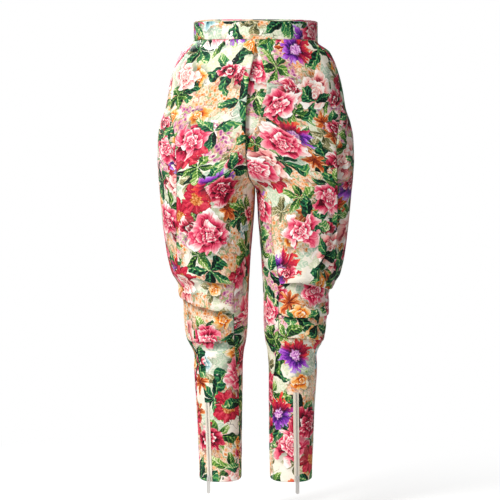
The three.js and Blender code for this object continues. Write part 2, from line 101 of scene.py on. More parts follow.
# Levels, and the seams' reach from the centre line.
SIDE_SEAM = (
    (-20, 129.5), (-88, 172), (-160, 178), (-223, 168), (-300, 163), (-437, 164),
    (-507, 158), (-552, 146), (-623, 142), (-677, 124), (-774, 123), (-938, 118),
)
INSIDE_SEAM = {
    "left": (
        (-335, 0.5), (-352, 27), (-362, 31), (-420, 31), (-470, 38), (-525, 46), (-630, 46),
        (-690, 40), (-740, 34), (-938, 34),
    ),
    "right": (
        (-335, 0.5), (-360, 8), (-418, 10), (-470, 22), (-500, 38), (-540, 44), (-630, 44),
        (-690, 40), (-740, 34), (-938, 34),
    ),
}
# Levels, the centre-front seam's swing to the wearer's right, and the width of the pleat's underlay.
CENTRE_SEAM = (
    (-20, 0, 1.5), (-43, -2, 3), (-65, -4.5, 13.5), (-88, -10, 24), (-110, -14, 30),
    (-135, -16.5, 31.5), (-160, -18.7, 26), (-200, -20.6, 20), (-235, -21, 8),
    (-262, -20, 1.5), (-305, -15, 0), (-335, 0, 0),
)
CENTRE_REACH = 70.0  # how far to each side the swing moves the cloth
CENTRE_DEPTH = 40.0  # and how far back
UNDERLAY_END = -262.0
UNDERLAY_BESIDE = (5.0, 9.0)  # how far the underlay runs on behind the right front and the left front
UNDERLAY_BACK = (7.5, 2.5)  # how far it is set back at its edges, and how much more at its middle
PLEAT_LIFT = 2.2  # how far the fronts' edges stand out over it
PLEAT_REACH = 9.0
PLEAT_FADE = 40.0

# Each tuck: nominal level, depth, lap, then its level and how strongly it is folded at even steps
# of the turn round the leg from the outside to the inside-leg seam.
TUCKS = {
    "left": (
        (-524, 9, 11, (-533, -535, -527, -520, -524), (0.7, 0.9, 0.9, 1, 0.8)),
        (-580, 7, 11, (-588, -590, -592, -591, -587), (0.4, 0.8, 1, 1, 0.7)),
        (-640, 7, 10, (-646, -642, -638, -634, -629), (0.2, 0.5, 0.8, 1, 0.7)),
    ),
    "right": (
        (-524, 6, 10, (-500, -505, -513, -521, -527), (0, 0.1, 0.6, 1, 0.8)),
        (-580, 10, 13, (-536, -553, -568, -577, -579), (0.7, 1, 1, 1, 0.7)),
        (-640, 7, 10, (-646, -646, -644, -641, -637), (0.1, 0.4, 0.8, 1, 0.7)),
    ),
}
TUCK_TURN = 2.2
TUCK_FADE = 0.75
TUCK_END = 2.18  # the turn at which the inside-leg seam flattens the tucks
TUCK_FLATTEN = 0.15
TUCK_THIN = 0.85  # the share of the cloth's wall that a full fold takes away
SWELL = 34.0  # how far above a tuck the cloth starts to swell out over it
HOLLOW = 22.0  # how far below a tuck the cloth is drawn in
HOLLOW_DEPTH = 2.0
TUCK_HALF = 10.0  # half the cloth that a tuck takes up, before it is folded
# A tuck's section down the cloth: up from its line in halves of its cloth and in laps, and out in
# depths.
TUCK_SECTION = (
    (1.0, 0.0, 0.5), (0.3, 0.0, 0.92), (0.0, -0.4, 0.9), (0.0, 0.1, 0.3), (0.0, 0.3, -0.2),
    (-1.0, 0.0, 0.0),
)
TUCK_ROWS = 31
HEM_RISE = 8.0  # how much higher the hem hangs at the sides
HEM_RISE_FROM = -905.0
STEADY_ABOVE = -425.0  # the tucks' drift leaves the cloth alone above and below these levels
STEADY_BELOW = -715.0

# The deep fold beside the left leg's side seam, where the front's edge stands over the wing.
WING_FOLD = {
    "top": -240.0, "bottom": -468.0, "depth": 22.0, "wall": 4.5, "floor": 29.0, "rise": 13.0,
    "lift": 4.0, "lift_reach": 12.0, "lap": 3.0, "lap_reach": 16.0, "under": 2.6, "steep": 2.2,
}
ROLL_REACH = 1.3  # how far in from a seam its roll reaches
CALM_EDGE = 12.0  # how near a seam the cloth lies without waves
# The cloth's waves: height, spacing across, spacing down, and which way a seed shifts them.
WAVES = ((1.3, 60, 110, 1), (0.45, 24, 30, -1))
WAVE_SHIFT = (3.1, 1.7, 2.3)
CREASE_STEPS = 17
CREASE_FADE = 0.8  # how bluntly a crease runs out at its ends
FIRST_ROW = 0.999  # where the row before a panel's first one would lie, in pitches above the waist seam
PAST_BACK = math.pi * 1.2  # a turn beyond this one is counted back from the side seam

ZIPS = {
    "left": {"top": -751.0, "top_x": 82.5, "hem_x": 85.0},
    "right": {"top": -773.0, "top_x": 100.5, "hem_x": 95.0},
}
TEETH_OFF = 2.25  # how far the middle of the teeth lies off the cloth
STITCHES_OFF = 1.4
STITCHES_ACROSS = 4.7  # how far the stitches run from the middle of the zip
STITCHES_END = HEM + 2
TEETH_STAGGER = 0.6
CHAIN_END = -923.0  # the slider's upper edge
ZIP_POINTS = 80

BAND_HALF = 1.1  # half the folded waistband's thickness
BAND_SLACK = 0.4  # how far its lower edge stands off the body
BAND_LEVEL = -20.0  # the level whose oval it follows
BAND_WAVE = 0.175  # its share of the cloth's unevenness
WAIST_REACH = 130.0

FRONT_COLUMNS = 88
BACK_COLUMNS = 120
UNDERLAY_COLUMNS = 18
FRONT_GRAIN = 90.0  # the turn at which each panel's grain line runs, in degrees
BACK_GRAIN = 270.0
# Where each piece is cut from the cloth, in metres.
CUT_OFFSETS = {
    "front_left": (1.62, 2.90), "front_right": (3.27, 2.34), "back_left": (5.05, 1.75),
    "back_right": (6.71, 3.42), "front_pleat": (8.13, 2.21), "waistband_front": (9.42, 1.13),
    "waistband_back_left": (10.3, 1.31), "waistband_back_right": (11.2, 1.47),
}

# The studio, in metres.
SENSOR = 36.0
CAMERA_AIM = (-0.012, 0.0, -0.457)
LIGHTS_AIM = (0, 0, -0.45)
FLOOR_RADIUS = 9.0
FLOOR_BELOW = 0.06
FLOOR_GLOW = 0.3  # how much the far floor lights the cloth

# A crease runs from one place and level to another, with a sag at its middle. Then come its depth,
# which is negative for a trough, and its width. On the fronts a place is the reach from the centre line.
# On the backs it is the turn round the leg, in degrees (0 outside, 180 inside, 270 back).
FRONT_CREASES = {
    "left": (
        (168, -396, 114, -546, -10, -9, 4), (157, -404, 104, -540, -10, 4.5, 7),
        (180, -424, 132, -546, -10, 2.5, 7), (140, -350, 128, -450, 0, 1.6, 13),
        (36, -352, 92, -392, -5, -2.6, 6), (34, -376, 78, -424, -6, -2.2, 7),
        (20, -318, 84, -342, -8, 1.8, 12), (60, -500, 104, -505, -5, 2.2, 7),
        (52, -545, 150, -560, -6, 2.6, 7), (60, -560, 148, -573, -6, -2.6, 5),
        (58, -605, 146, -604, -6, 2.6, 6), (62, -617, 142, -619, -6, -2.4, 5),
        (52, -655, 122, -668, -6, -2.8, 5), (60, -670, 126, -682, -4, 2.2, 6),
        (50, -696, 104, -708, -4, -1.6, 7), (112, -44, 128, -150, 0, -2.4, 9),
        (140, -60, 150, -150, 0, 2.2, 11), (74, -44, 78, -104, 0, -1.6, 8),
        (48, -812, 104, -820, -3, -1, 8),
    ),
    "right": (
        (146, -222, 147, -318, 0, -3.2, 4), (156, -214, 157, -330, 0, 2.6, 7),
        (150, -440, 126, -505, 4, -3, 6), (134, -446, 108, -510, 4, 2.8, 8),
        (34, -352, 94, -386, -5, -2.6, 6), (30, -380, 80, -424, -6, -2, 7),
        (20, -318, 86, -346, -8, 1.8, 12), (60, -545, 138, -540, -12, 3, 8),
        (58, -560, 120, -558, -8, -1.8, 5), (56, -596, 148, -588, -8, -2.8, 5),
        (58, -608, 146, -602, -8, 2.6, 7), (62, -620, 140, -622, -7, -1.8, 5),
        (52, -652, 130, -668, -6, -2.8, 5), (58, -668, 128, -684, -4, 2.2, 6),
        (50, -700, 104, -712, -4, -1.6, 7), (116, -46, 130, -150, 0, -2.2, 9),
        (144, -62, 152, -150, 0, 2.2, 11), (70, -44, 76, -98, 0, -1.4, 8), (46, -820, 108, -832, -3, -1, 8),
    ),
}
BACK_CREASES = {
    "left": (
        (250, -300, 205, -352, -6, -3, 9), (262, -322, 210, -372, -8, 2.4, 10),
        (240, -352, 196, -398, -8, -2.4, 9), (300, -420, 240, -448, -9, -2.2, 10),
        (330, -470, 262, -486, -9, 2, 10), (306, -512, 232, -520, -8, -2.8, 8),
        (340, -538, 252, -542, -8, 2.6, 9), (318, -562, 240, -570, -9, -3, 8),
        (300, -592, 226, -598, -8, 2.4, 9), (330, -622, 250, -630, -8, -2.8, 8),
        (306, -652, 238, -658, -6, 2.4, 9), (322, -684, 250, -690, -5, -2, 8),
        (290, -730, 236, -742, -5, -1.2, 10), (276, -60, 280, -150, 0, -1.6, 12),
        (318, -58, 314, -130, 0, -2, 11),
    ),
    "right": (
        (254, -306, 206, -350, -6, -2.8, 9), (262, -330, 212, -378, -8, 2.4, 10),
        (238, -356, 196, -404, -8, -2.2, 9), (304, -428, 246, -444, -9, -2.4, 10),
        (328, -462, 258, -480, -9, 2, 10), (310, -504, 236, -516, -8, -2.6, 8),
        (338, -530, 248, -538, -8, 2.6, 9), (316, -556, 238, -566, -9, -2.8, 8),
        (304, -586, 228, -600, -8, 2.2, 9), (332, -616, 252, -626, -8, -3, 8),
        (308, -646, 236, -656, -6, 2.4, 9), (318, -680, 252, -688, -5, -1.8, 8),
        (292, -736, 240, -744, -5, -1.2, 10), (274, -60, 278, -144, 0, -1.6, 12),
        (316, -60, 312, -126, 0, -1.8, 11),
    ),
}

# ------------------------------------------------------------------ settings

class JodhpursCloth(bpy.types.PropertyGroup):
    """Sizes of the cloth."""
    wall: bpy.props.FloatProperty(
        name="Wall", description="Thickness of the printed cloth", default=1.2 * MM, unit="LENGTH")
    pitch: bpy.props.FloatProperty(
        name="Pitch", description="Spacing of the mesh's rows down the leg", default=2.6 * MM, unit="LENGTH")
    seam_roll: bpy.props.FloatProperty(
        name="Seam roll", description="How far a panel's edge turns in at its seam", default=1.5 * MM,
        unit="LENGTH")


class JodhpursZip(bpy.types.PropertyGroup):
    """Sizes of the hem zips."""
    tooth_pitch: bpy.props.FloatProperty(
        name="Tooth pitch", description="Spacing of the zip's teeth", default=1.15 * MM, unit="LENGTH")
    stitch_pitch: bpy.props.FloatProperty(
        name="Stitch pitch", description="Spacing of the stitches down the tapes", default=3.0 * MM,
        unit="LENGTH")


class JodhpursStudio(bpy.types.PropertyGroup):
    """The camera and lights."""
    distance: bpy.props.FloatProperty(
        name="Distance", description="Camera's distance from the middle of the garment", default=3.4,
        unit="LENGTH")
    view_height: bpy.props.FloatProperty(
        name="Framed height", description="Height of the view at the garment", default=1.05, unit="LENGTH")
    key: bpy.props.FloatProperty(name="Key light", description="Power of the main light", default=124.0)
    fill: bpy.props.FloatProperty(name="Fill light", description="Power of the second light", default=9.0)
    ambient: bpy.props.FloatProperty(
        name="Ambient", description="Strength of the light from all round", default=0.29)


# ------------------------------------------------------------------ curves and the leg's form

def smooth(t):
    """An S-shaped step from 0 to 1."""
    t = np.clip(t, 0.0, 1.0)
    return t * t * (3.0 - 2.0 * t)


def profile(table, column):
    """A smooth curve through one column of a table of levels, flat past its ends."""
    levels = np.array([row[0] for row in table[::-1]], float)
    values = np.array([row[column] for row in table[::-1]], float)
    slopes = np.diff(values) / np.diff(levels)
    before = np.concatenate(([0.0], slopes))
    after = np.concatenate((slopes, [0.0]))
    agree = before * after > 0
    tangents = np.where(agree, 2 * before * after / np.where(agree, before + after, 1.0), 0.0)

    def at(level):
        level = np.clip(level, levels[0], levels[-1])
        i = np.clip(np.searchsorted(levels, level, side="right") - 1, 0, len(levels) - 2)
        step = levels[i + 1] - levels[i]
        t = (level - levels[i]) / step
        return (values[i] * (2 * t**3 - 3 * t**2 + 1) + tangents[i] * step * (t**3 - 2 * t**2 + t)
                + values[i + 1] * (3 * t**2 - 2 * t**3) + tangents[i + 1] * step * (t**3 - t**2))

    return at


OUTER, INNER, FRONT, BACK = (profile(RINGS, column) for column in (1, 2, 3, 4))
SIDE_REACH = profile(SIDE_SEAM, 1)
INSIDE_REACH = {side: profile(table, 1) for side, table in INSIDE_SEAM.items()}
CENTRE_SHIFT, UNDERLAY_WIDTH = (profile(CENTRE_SEAM, column) for column in (1, 2))


def ring(level):
    """The oval of the wearer's left leg at a level: centre, half width, front and back reach."""
    outer, inner = OUTER(level), INNER(level)
    return (outer + inner) / 2, (outer - inner) / 2, FRONT(level), BACK(level)


def angle_at(level, x):
    """The turn at which the front of the ring crosses x."""
    centre, half, _, _ = ring(level)
    return np.arccos(np.clip((x - centre) / half, -1.0, 1.0))


def turn_for(level, phi, distance):
    """The turn about the leg that moves a point on its ring by the distance."""
    _, half, front, _ = ring(level)
    return distance / np.hypot(half * np.sin(phi), front * np.cos(phi))


def on_leg(level, phi, out):
    """Points of the left leg's surface, moved out by out, in millimetres."""
    centre, half, front, back = ring(level)
    depth = np.where(np.sin(phi) >= 0, front, back)
    nx, ny = np.cos(phi) / half, -np.sin(phi) / depth
    length = np.hypot(nx, ny)
    return np.stack([
        centre + half * np.cos(phi) + nx / length * out,
        -depth * np.sin(phi) + ny / length * out,
        level + 0.0 * phi,
    ], axis=-1)


def swing(points, side):
    """Moves points near the centre front sideways with the seam."""
    shift = CENTRE_SHIFT(points[..., 2]) * (1 if side == "left" else -1)
    middle = (1 - np.clip(np.abs(points[..., 0]) / CENTRE_REACH, 0, 1) ** 2) ** 2
    points[..., 0] += shift * middle * smooth(-points[..., 1] / CENTRE_DEPTH)
    return points


def along_tuck(column, phi):
    """A column of a tuck's table at a turn."""
    column = np.array(column, float)
    at = np.clip(phi / TUCK_TURN, 0, 1) * (len(column) - 1)
    i = np.minimum(at.astype(int), len(column) - 2)
    return column[i] + (column[i + 1] - column[i]) * smooth(at - i)


def short_turn(phi):
    """The turn as a negative one where it runs past the back to behind the side seam."""
    return np.where(phi > PAST_BACK, phi - 2 * math.pi, phi)


def tuck_strength(folded, phi):
    """How strongly a tuck is folded at a turn. None is folded round the back."""
    return along_tuck(folded, phi) * smooth(1 + phi / TUCK_FADE) * (
        1 - smooth((phi - TUCK_END + TUCK_FLATTEN) / TUCK_FLATTEN))


def drifted(side, level, phi):
    """A level between the tucks, moved with them, and left alone well above and below them."""
    stops = [STEADY_ABOVE, *(tuck[0] for tuck in TUCKS[side]), STEADY_BELOW]
    moved = [STEADY_ABOVE, *(along_tuck(tuck[3], phi) for tuck in TUCKS[side]), STEADY_BELOW]
    result = level
    for i in range(len(stops) - 1):
        t = (level - stops[i]) / (stops[i + 1] - stops[i])
        shift = (moved[i] - stops[i]) * (1 - t) + (moved[i + 1] - stops[i + 1]) * t
        result = np.where((t >= 0) & (t <= 1), level + shift, result)
    return result


def section_at(s):
    """The tuck's section, smoothed, at s from 0, its top row, to 5, its last."""
    table = np.array(TUCK_SECTION)
    padded = np.vstack([2 * table[0] - table[1], table, 2 * table[-1] - table[-2]])
    i = np.minimum(s.astype(int), len(table) - 2)
    t = (s - i)[:, None]
    a, b, c, d = (padded[i + k] for k in range(4))
    return 0.5 * (2 * b + (c - a) * t + (2 * a - 5 * b + 4 * c - d) * t**2
                  + (3 * b - a - 3 * c + d) * t**3)


def panel_rows(side, pitch):
    """A panel's rows from the waist down: level, seams' level, tuck (or -1), and its section."""
    rows = []

    def plain(top, bottom):
        count = max(2, int(round((top - bottom) / pitch)))
        for level in np.linspace(top, bottom, count, endpoint=False)[1:]:
            rows.append((level, level, -1, 0, 0, 0))

    top = BAND_BOTTOM - SEAM_GAP + pitch * FIRST_ROW
    steps = np.linspace(0, len(TUCK_SECTION) - 1, TUCK_ROWS)
    for index, tuck in enumerate(TUCKS[side]):
        nominal = tuck[0]
        plain(top, nominal + TUCK_HALF)
        for fraction, section in zip(steps / steps[-1], section_at(steps)):
            rows.append((nominal + TUCK_HALF * (1 - 2 * fraction), nominal, index, *section))
        top = nominal - TUCK_HALF
    plain(top, HEM)
    rows.append((HEM, HEM, -1, 0, 0, 0))
    rows = np.array(rows, float)
    return rows[:, 0], rows[:, 1], rows[:, 2].astype(int), rows[:, 3:]


def placed(side, rows, phi):
    """Points of a panel of the left leg's form, for rows and their turns."""
    levels, _, tucks, sections = rows
    level = np.repeat(levels[:, None], phi.shape[1], axis=1)
    across = short_turn(phi)
    moved = drifted(side, level, across)
    out = np.zeros_like(phi)
    for index, (nominal, depth, lap, line, folded) in enumerate(TUCKS[side]):
        strength = tuck_strength(folded, across)
        at = tucks == index
        target = along_tuck(line, across) + sections[:, 0:1] * TUCK_HALF + sections[:, 1:2] * lap
        moved[at] += ((target - moved) * strength)[at]
        out[at] = (sections[:, 2:3] * depth * strength)[at]
        over = (levels - nominal - TUCK_HALF) / SWELL
        under = (nominal - TUCK_HALF - levels) / HOLLOW
        bulge = np.where((over > 0) & (over < 1), (1 - over) ** 2 * TUCK_SECTION[0][2], 0.0)
        bulge -= np.where((under > 0) & (under < 1), under * (1 - under) ** 2 * HOLLOW_DEPTH, 0.0)
        out += bulge[:, None] * depth * strength
    near_waist = smooth((level - FRONT_DIP_END) / (BAND_BOTTOM - SEAM_GAP - FRONT_DIP_END))
    moved -= FRONT_DIP * near_waist * np.maximum(0, np.sin(phi)) ** 2
    near_hem = smooth((HEM_RISE_FROM - level) / (HEM_RISE_FROM - HEM))
    moved += HEM_RISE * near_hem * (1 - np.abs(np.sin(phi))) ** 2
    return swing(on_leg(moved, phi, out), side)


def wall_shares(side, rows, phi):
    """The share of the cloth's wall left at each point, thin where a tuck folds it tightly."""
    shares = np.ones(phi.shape)
    for index, tuck in enumerate(TUCKS[side]):
        at = rows[2] == index
        shares[at] = (1 - TUCK_THIN * np.minimum(1, 2 * tuck_strength(tuck[4], short_turn(phi))))[at]
    return shares


# ------------------------------------------------------------------ folds, creases and unevenness

def grid_normals(points):
    """Unit normals of a grid of points, facing out of the left leg."""
    down = np.gradient(points, axis=0)
    across = np.gradient(points, axis=1)
    normals = np.cross(down, across)
    normals /= np.maximum(np.linalg.norm(normals, axis=-1, keepdims=True), 1e-9)
    return normals


def crease_relief(points, creases, by_reach):
    """How far the creases move each point out, in millimetres."""
    relief = np.zeros(points.shape[:-1])
    steps = np.linspace(0, 1, CREASE_STEPS)
    for place, level, to_place, to_level, sag, depth, width in creases:
        places = place + (to_place - place) * steps
        levels = level + (to_level - level) * steps + sag * 4 * steps * (1 - steps)
        turns = angle_at(levels, places) if by_reach else np.radians(places)
        line = on_leg(levels, turns, 0.0)
        best = np.full(relief.shape, 1e9)
        along = np.zeros(relief.shape)
        for t, a, b in zip(steps[:-1], line[:-1], line[1:]):
            run = b - a
            q = np.clip(((points - a) @ run) / (run @ run), 0, 1)
            distance = np.linalg.norm(points - a - q[..., None] * run, axis=-1)
            closer = distance < best
            best = np.where(closer, distance, best)
            along = np.where(closer, t + q * (steps[1] - steps[0]), along)
        fade = np.sin(np.pi * np.clip(along, 0, 1)) ** CREASE_FADE
        relief += depth * fade * np.exp(-(best / width) ** 2)
    return relief


def unevenness(points, seed):
    """Low, broad waves, so that no stretch of cloth is a perfect form."""
    heights = np.zeros(points.shape[:-1])
    for height, across, down, way in WAVES:
        shift = Vector([seed * way * part for part in WAVE_SHIFT])
        places = (Vector((x / across, y / across, z / down)) for x, y, z in points.reshape(-1, 3))
        heights += height * np.array([noise.noise(place + shift) for place in places]).reshape(heights.shape)
    return heights


def wing_fold(level):
    """How deep the wing's fold is at a level, from 0 to 1."""
    middle = (WING_FOLD["top"] + WING_FOLD["bottom"]) / 2
    half = (WING_FOLD["top"] - WING_FOLD["bottom"]) / 2
    return smooth((1 - np.abs(level - middle) / half) * WING_FOLD["steep"])


def edge_distances(points):
    """Each point's distance along its row from the row's first and last point."""
    steps = np.linalg.norm(np.diff(points, axis=1), axis=-1)
    from_first = np.concatenate([np.zeros((len(points), 1)), np.cumsum(steps, axis=1)], axis=1)
    return from_first, from_first[:, -1:] - from_first


def run_length(points):
    """How far along a line each of its points lies."""
    return np.concatenate([[0.0], np.cumsum(np.linalg.norm(np.diff(points, axis=0), axis=-1))])


# ------------------------------------------------------------------ meshes

def edge_spaced(columns):
    """Fractions across a panel, closer together at its edges."""
    rim = [0.0, 0.004, 0.009, 0.016, 0.026]
    middle = np.linspace(0.04, 0.96, columns - 2 * len(rim))
    return np.array(rim + list(middle) + [1 - f for f in reversed(rim)])


def cut_map(points, phi, grain, offset):
    """Where each grid point lies on the flat cut, in metres: across from the grain line, and down it."""
    across, _ = edge_distances(points)
    line = []
    for i, turns in enumerate(phi):
        order = np.argsort(turns)
        across[i] -= np.interp(grain, turns[order], across[i][order])
        line.append([np.interp(grain, turns[order], points[i, order, k]) for k in range(3)])
    down = np.broadcast_to(-run_length(np.array(line))[:, None], across.shape)
    return np.stack([across, down], axis=-1) * MM + offset


def mesh_with_cut(name, points, faces, cut, mirrored):
    """A smooth mesh from a grid of points in millimetres, with their places on the cut as UVs."""
    points = points.reshape(-1, 3) * MM
    if mirrored:
        points[:, 0] *= -1
    mesh = bpy.data.meshes.new(name)
    mesh.from_pydata(points.tolist(), [], faces)
    corners = np.empty(len(mesh.loops), dtype=np.int32)
    mesh.loops.foreach_get("vertex_index", corners)
    uv = mesh.uv_layers.new(name="cut")
    uv.data.foreach_set("uv", cut.reshape(-1, 2)[corners].ravel())
    mesh.shade_smooth()
    return mesh


def grid_faces(rows, columns, mirrored):
    """The quads of a grid, facing out of the leg, on which the points of each row run together."""
    starts = [i * columns + j for i in range(rows - 1) for j in range(columns - 1)]
    faces = [(a, a + columns, a + columns + 1, a + 1) for a in starts]
    return [face[::-1] for face in faces] if mirrored else faces


def add_object(name, data, *materials):
    """Links a new object that holds the data and wears the materials."""
    made = bpy.data.objects.new(name, data)
    bpy.context.scene.collection.objects.link(made)
    for material in materials:
        data.materials.append(material)
    return made


def add_wall(piece, thickness, shares):
    """Gives a sheet its wall, with the cloth's reverse inside. Shares thin it point by point."""
    group = piece.vertex_groups.new(name="wall")
    shares = np.round(shares.ravel(), 2)
    for share in np.unique(shares):
        group.add(np.flatnonzero(shares == share).tolist(), float(share), "REPLACE")
    wall = piece.modifiers.new("wall", "SOLIDIFY")
    wall.vertex_group = group.name
    wall.thickness = thickness
    wall.offset = -1.0
    wall.material_offset = 1


def flat_area(points):
    """Area of a grid of points in square metres."""
    a = points[1:, :-1] - points[:-1, :-1]
    b = points[:-1, 1:] - points[:-1, :-1]
    return float(np.linalg.norm(np.cross(a, b), axis=-1).sum() * MM * MM)


def declare(piece, node=None):
    """Hides the CAD node that a piece of the garment stands for, if any, and puts the piece under the
    garment.
    """
    if node:
        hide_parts(node)
    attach(piece, GARMENT)


def dress(name, material):
    """Gives a CAD node's object a material."""
    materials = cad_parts[name].data.materials
    materials.clear()
    materials.append(material)


# ------------------------------------------------------------------ node trees

def math_method(operation):
    """A method of Value that adds a Math node."""
    return lambda self, *others: self.math(operation, *others)


class Value:
    """A number or a vector in a node tree. Arithmetic on it adds Math nodes."""

    def __init__(self, graph, socket):
        self.graph = graph
        self.socket = socket

    def math(self, operation, *others):
        made = self.graph.tree.nodes.new("ShaderNodeMath")
        made.operation = operation
        for slot, value in zip(made.inputs, (self, *others)):
            self.graph.feed(slot, value)
        return Value(self.graph, made.outputs[0])

    __add__ = __radd__ = math_method("ADD")
    __sub__ = math_method("SUBTRACT")
    __mul__ = __rmul__ = math_method("MULTIPLY")
    __truediv__ = math_method("DIVIDE")
    __pow__ = math_method("POWER")
    abs, sin, cos = math_method("ABSOLUTE"), math_method("SINE"), math_method("COSINE")
    fract, floor = math_method("FRACT"), math_method("FLOOR")
    above, below = math_method("GREATER_THAN"), math_method("LESS_THAN")
    most, least = math_method("MAXIMUM"), math_method("MINIMUM")

    def __rsub__(self, other):
        return self * -1.0 + other

    def ease(self, low, high):
        """0 where this is at low, 1 where it is at high, and smooth between."""
        return self.graph.node("ShaderNodeMapRange", {"interpolation_type": "SMOOTHSTEP"},
                               {"Value": self, "From Min": low, "From Max": high})


class Graph:
    """A node tree built by expressions."""

    def __init__(self, tree):
        self.tree = tree

    def feed(self, slot, value):
        if isinstance(value, Value):
            self.tree.links.new(value.socket, slot)
        else:
            slot.default_value = value

    def node(self, kind, settings=None, inputs=None, out=0):
        """Adds a node and gives one of its outputs, or several where out is a tuple."""
        made = self.tree.nodes.new(kind)
        for name, setting in (settings or {}).items():
            setattr(made, name, setting)
        for name, value in (inputs or {}).items():
            self.feed(made.inputs[name], value)
        if isinstance(out, tuple):
            return [Value(self, made.outputs[each]) for each in out]
        return Value(self, made.outputs[out])

    def give(self, value):
        """Sends a value out of a node group."""
        self.feed(self.tree.nodes.new("NodeGroupOutput").inputs[0], value)

    def ramp(self, factor, stops):
        """A colour that runs through stops as the factor grows."""
        value = self.node("ShaderNodeValToRGB", None, {0: factor})
        elements = value.socket.node.color_ramp.elements
        while len(elements) < len(stops):
            elements.new(0.5)
        for element, (position, colour) in zip(elements, stops):
            element.position = position
            element.color = rgb(colour)
        return value

    def mix(self, factor, a, b):
        return self.node("ShaderNodeMix", {"data_type": "RGBA"}, {0: factor, 6: a, 7: b}, out=2)

    def noise(self, vector, size, detail=2.0, rough=0.5, out=0, kind="2D"):
        return self.node("ShaderNodeTexNoise", {"noise_dimensions": kind},
                         {"Vector": vector, "Scale": 1.0 / size, "Detail": detail, "Roughness": rough}, out)

    def vector(self, operation, a, b):
        slot = "Scale" if operation == "SCALE" else 1
        return self.node("ShaderNodeVectorMath", {"operation": operation}, {0: a, slot: b})

    def parts(self, vector):
        return self.node("ShaderNodeSeparateXYZ", None, {0: vector}, out=(0, 1, 2))

    def bump(self, strength, distance, height):
        return self.node("ShaderNodeBump", None, {
            "Strength": strength, "Distance": distance, "Height": height})


def rgb(code):
    """A linear colour from a hex code."""
    channels = [int(code[i:i + 2], 16) / 255 for i in (0, 2, 4)]
    return (*(c / 12.92 if c <= 0.04045 else ((c + 0.055) / 1.055) ** 2.4 for c in channels), 1.0)


def node_group(name, kind, inputs, output):
    """A new node group of the kind, with its labelled inputs and its one output."""
    tree = bpy.data.node_groups.new(name, kind)
    for label, socket in inputs:
        tree.interface.new_socket(label, in_out="INPUT", socket_type=socket)
    tree.interface.new_socket(output[0], in_out="OUTPUT", socket_type=output[1])
    return tree


# ------------------------------------------------------------------ the floral print

PEONY_PINK = (
    (0.02, "4a0616"), (0.2, "b8163c"), (0.4, "e8476a"), (0.58, "f6899a"), (0.74, "fccbc6"), (0.92, "fffaf4"))
PEONY_BLUSH = ((0.02, "8e2434"), (0.18, "dd6f74"), (0.36, "f5a79f"), (0.56, "fcd5c8"), (0.8, "fff7ee"))
PEONY_CRIMSON = (
    (0.04, "22030b"), (0.25, "740a24"), (0.48, "b81a3c"), (0.7, "e04c66"), (0.86, "f7a9ae"), (1.0, "fff0e8"))
PEONY_ICE = ((0.0, "2f5f63"), (0.25, "7fb3b8"), (0.5, "bcd9d8"), (0.75, "e9f0ea"), (1.0, "ffffff"))
POPPY = ((0.0, "a03410"), (0.25, "e8721c"), (0.5, "f9a13c"), (0.8, "fdcf8f"), (1.0, "fff2da"))
DARK_LEAF = (
    (0.04, "03100f"), (0.22, "082a20"), (0.42, "176040"), (0.62, "3f9152"), (0.82, "93b85c"), (1.0, "e8ecbc"))
FRESH_LEAF = ((0.04, "0b2416"), (0.22, "24562a"), (0.46, "568a34"), (0.7, "a2bf5e"), (0.95, "eef0c4"))
OLIVE_LEAF = ((0.05, "3a3d22"), (0.3, "767348"), (0.6, "b3ab7c"), (0.85, "ddd3ac"), (1.0, "f5eed6"))
MINT_SKETCH = ((0.3, "7fb596"), (0.55, "a8cda6"), (0.8, "cfdcae"))
WARM_FLORET = ((0.05, "c2571d"), (0.25, "f0964a"), (0.5, "f8c39b"), (0.8, "fde6cc"), (1.0, "fff4e4"))
MAUVE_FLORET = ((0.05, "6d2a5c"), (0.25, "b65a92"), (0.5, "e29ab2"), (0.8, "f6cfcf"), (1.0, "fdeae0"))
UNDER_FLORET = ((0.2, "a3b07c"), (0.42, "e6bd94"), (0.62, "fbefdc"), (0.82, "cf8f78"))
LILY = ((0.04, "1f0606"), (0.24, "7a1e12"), (0.44, "c9501f"), (0.62, "ee9a4e"), (0.84, "fff0d8"))
LOTUS = ((0.02, "3c0512"), (0.25, "8d0f26"), (0.5, "cf2440"), (0.75, "ec5c6a"), (1.0, "f9b9b2"))
LOTUS_HEART = ((0.2, "5a1c10"), (0.5, "d9762b"), (0.8, "f7c98e"))
SPIKY_VIOLET = ((0.15, "1d0f33"), (0.35, "5b1f8c"), (0.55, "b14fd0"), (0.8, "c9b8ee"), (1.0, "eef5ff"))
SPIKY_SCARLET = ((0.15, "2a0620"), (0.35, "a3123c"), (0.6, "e5343c"), (0.85, "f58a4f"), (1.0, "fde2c8"))
SPIKY_CORE = ((0.3, "7a2a8a"), (0.5, "d98ad0"), (0.7, "fbeaf6"))


def away(x, y):
    """How far a place lies from the origin."""
    return (x * x + y * y) ** 0.5


def polar(x, y):
    """The turn and the radius at which a place lies."""
    return y.math("ARCTAN2", x), away(x, y)


def sectors(angle, count):
    """Folds the turn into equal sectors: the sector's number, and the angle from its middle."""
    part = angle * (count / math.tau)
    return part.floor(), (part.fract() - 0.5) * (math.tau / count)


def leaf(x, y, length, width, veins):
    """A pointed leaf from the origin along x: where it is, and how near a point is to a vein."""
    half = (x / length * math.pi).sin().most(0.0) ** 0.85 * width
    mask = (half - y.abs()).ease(0.0, 0.0009)
    vein = (((x - y.abs() * 0.9) * veins / length).fract() - 0.5).abs() * 2.0
    return mask, vein


def chosen(random, low, high=1.0):
    """1 for the motifs whose random number lies between low and high."""
    return random.above(low) * random.below(high)


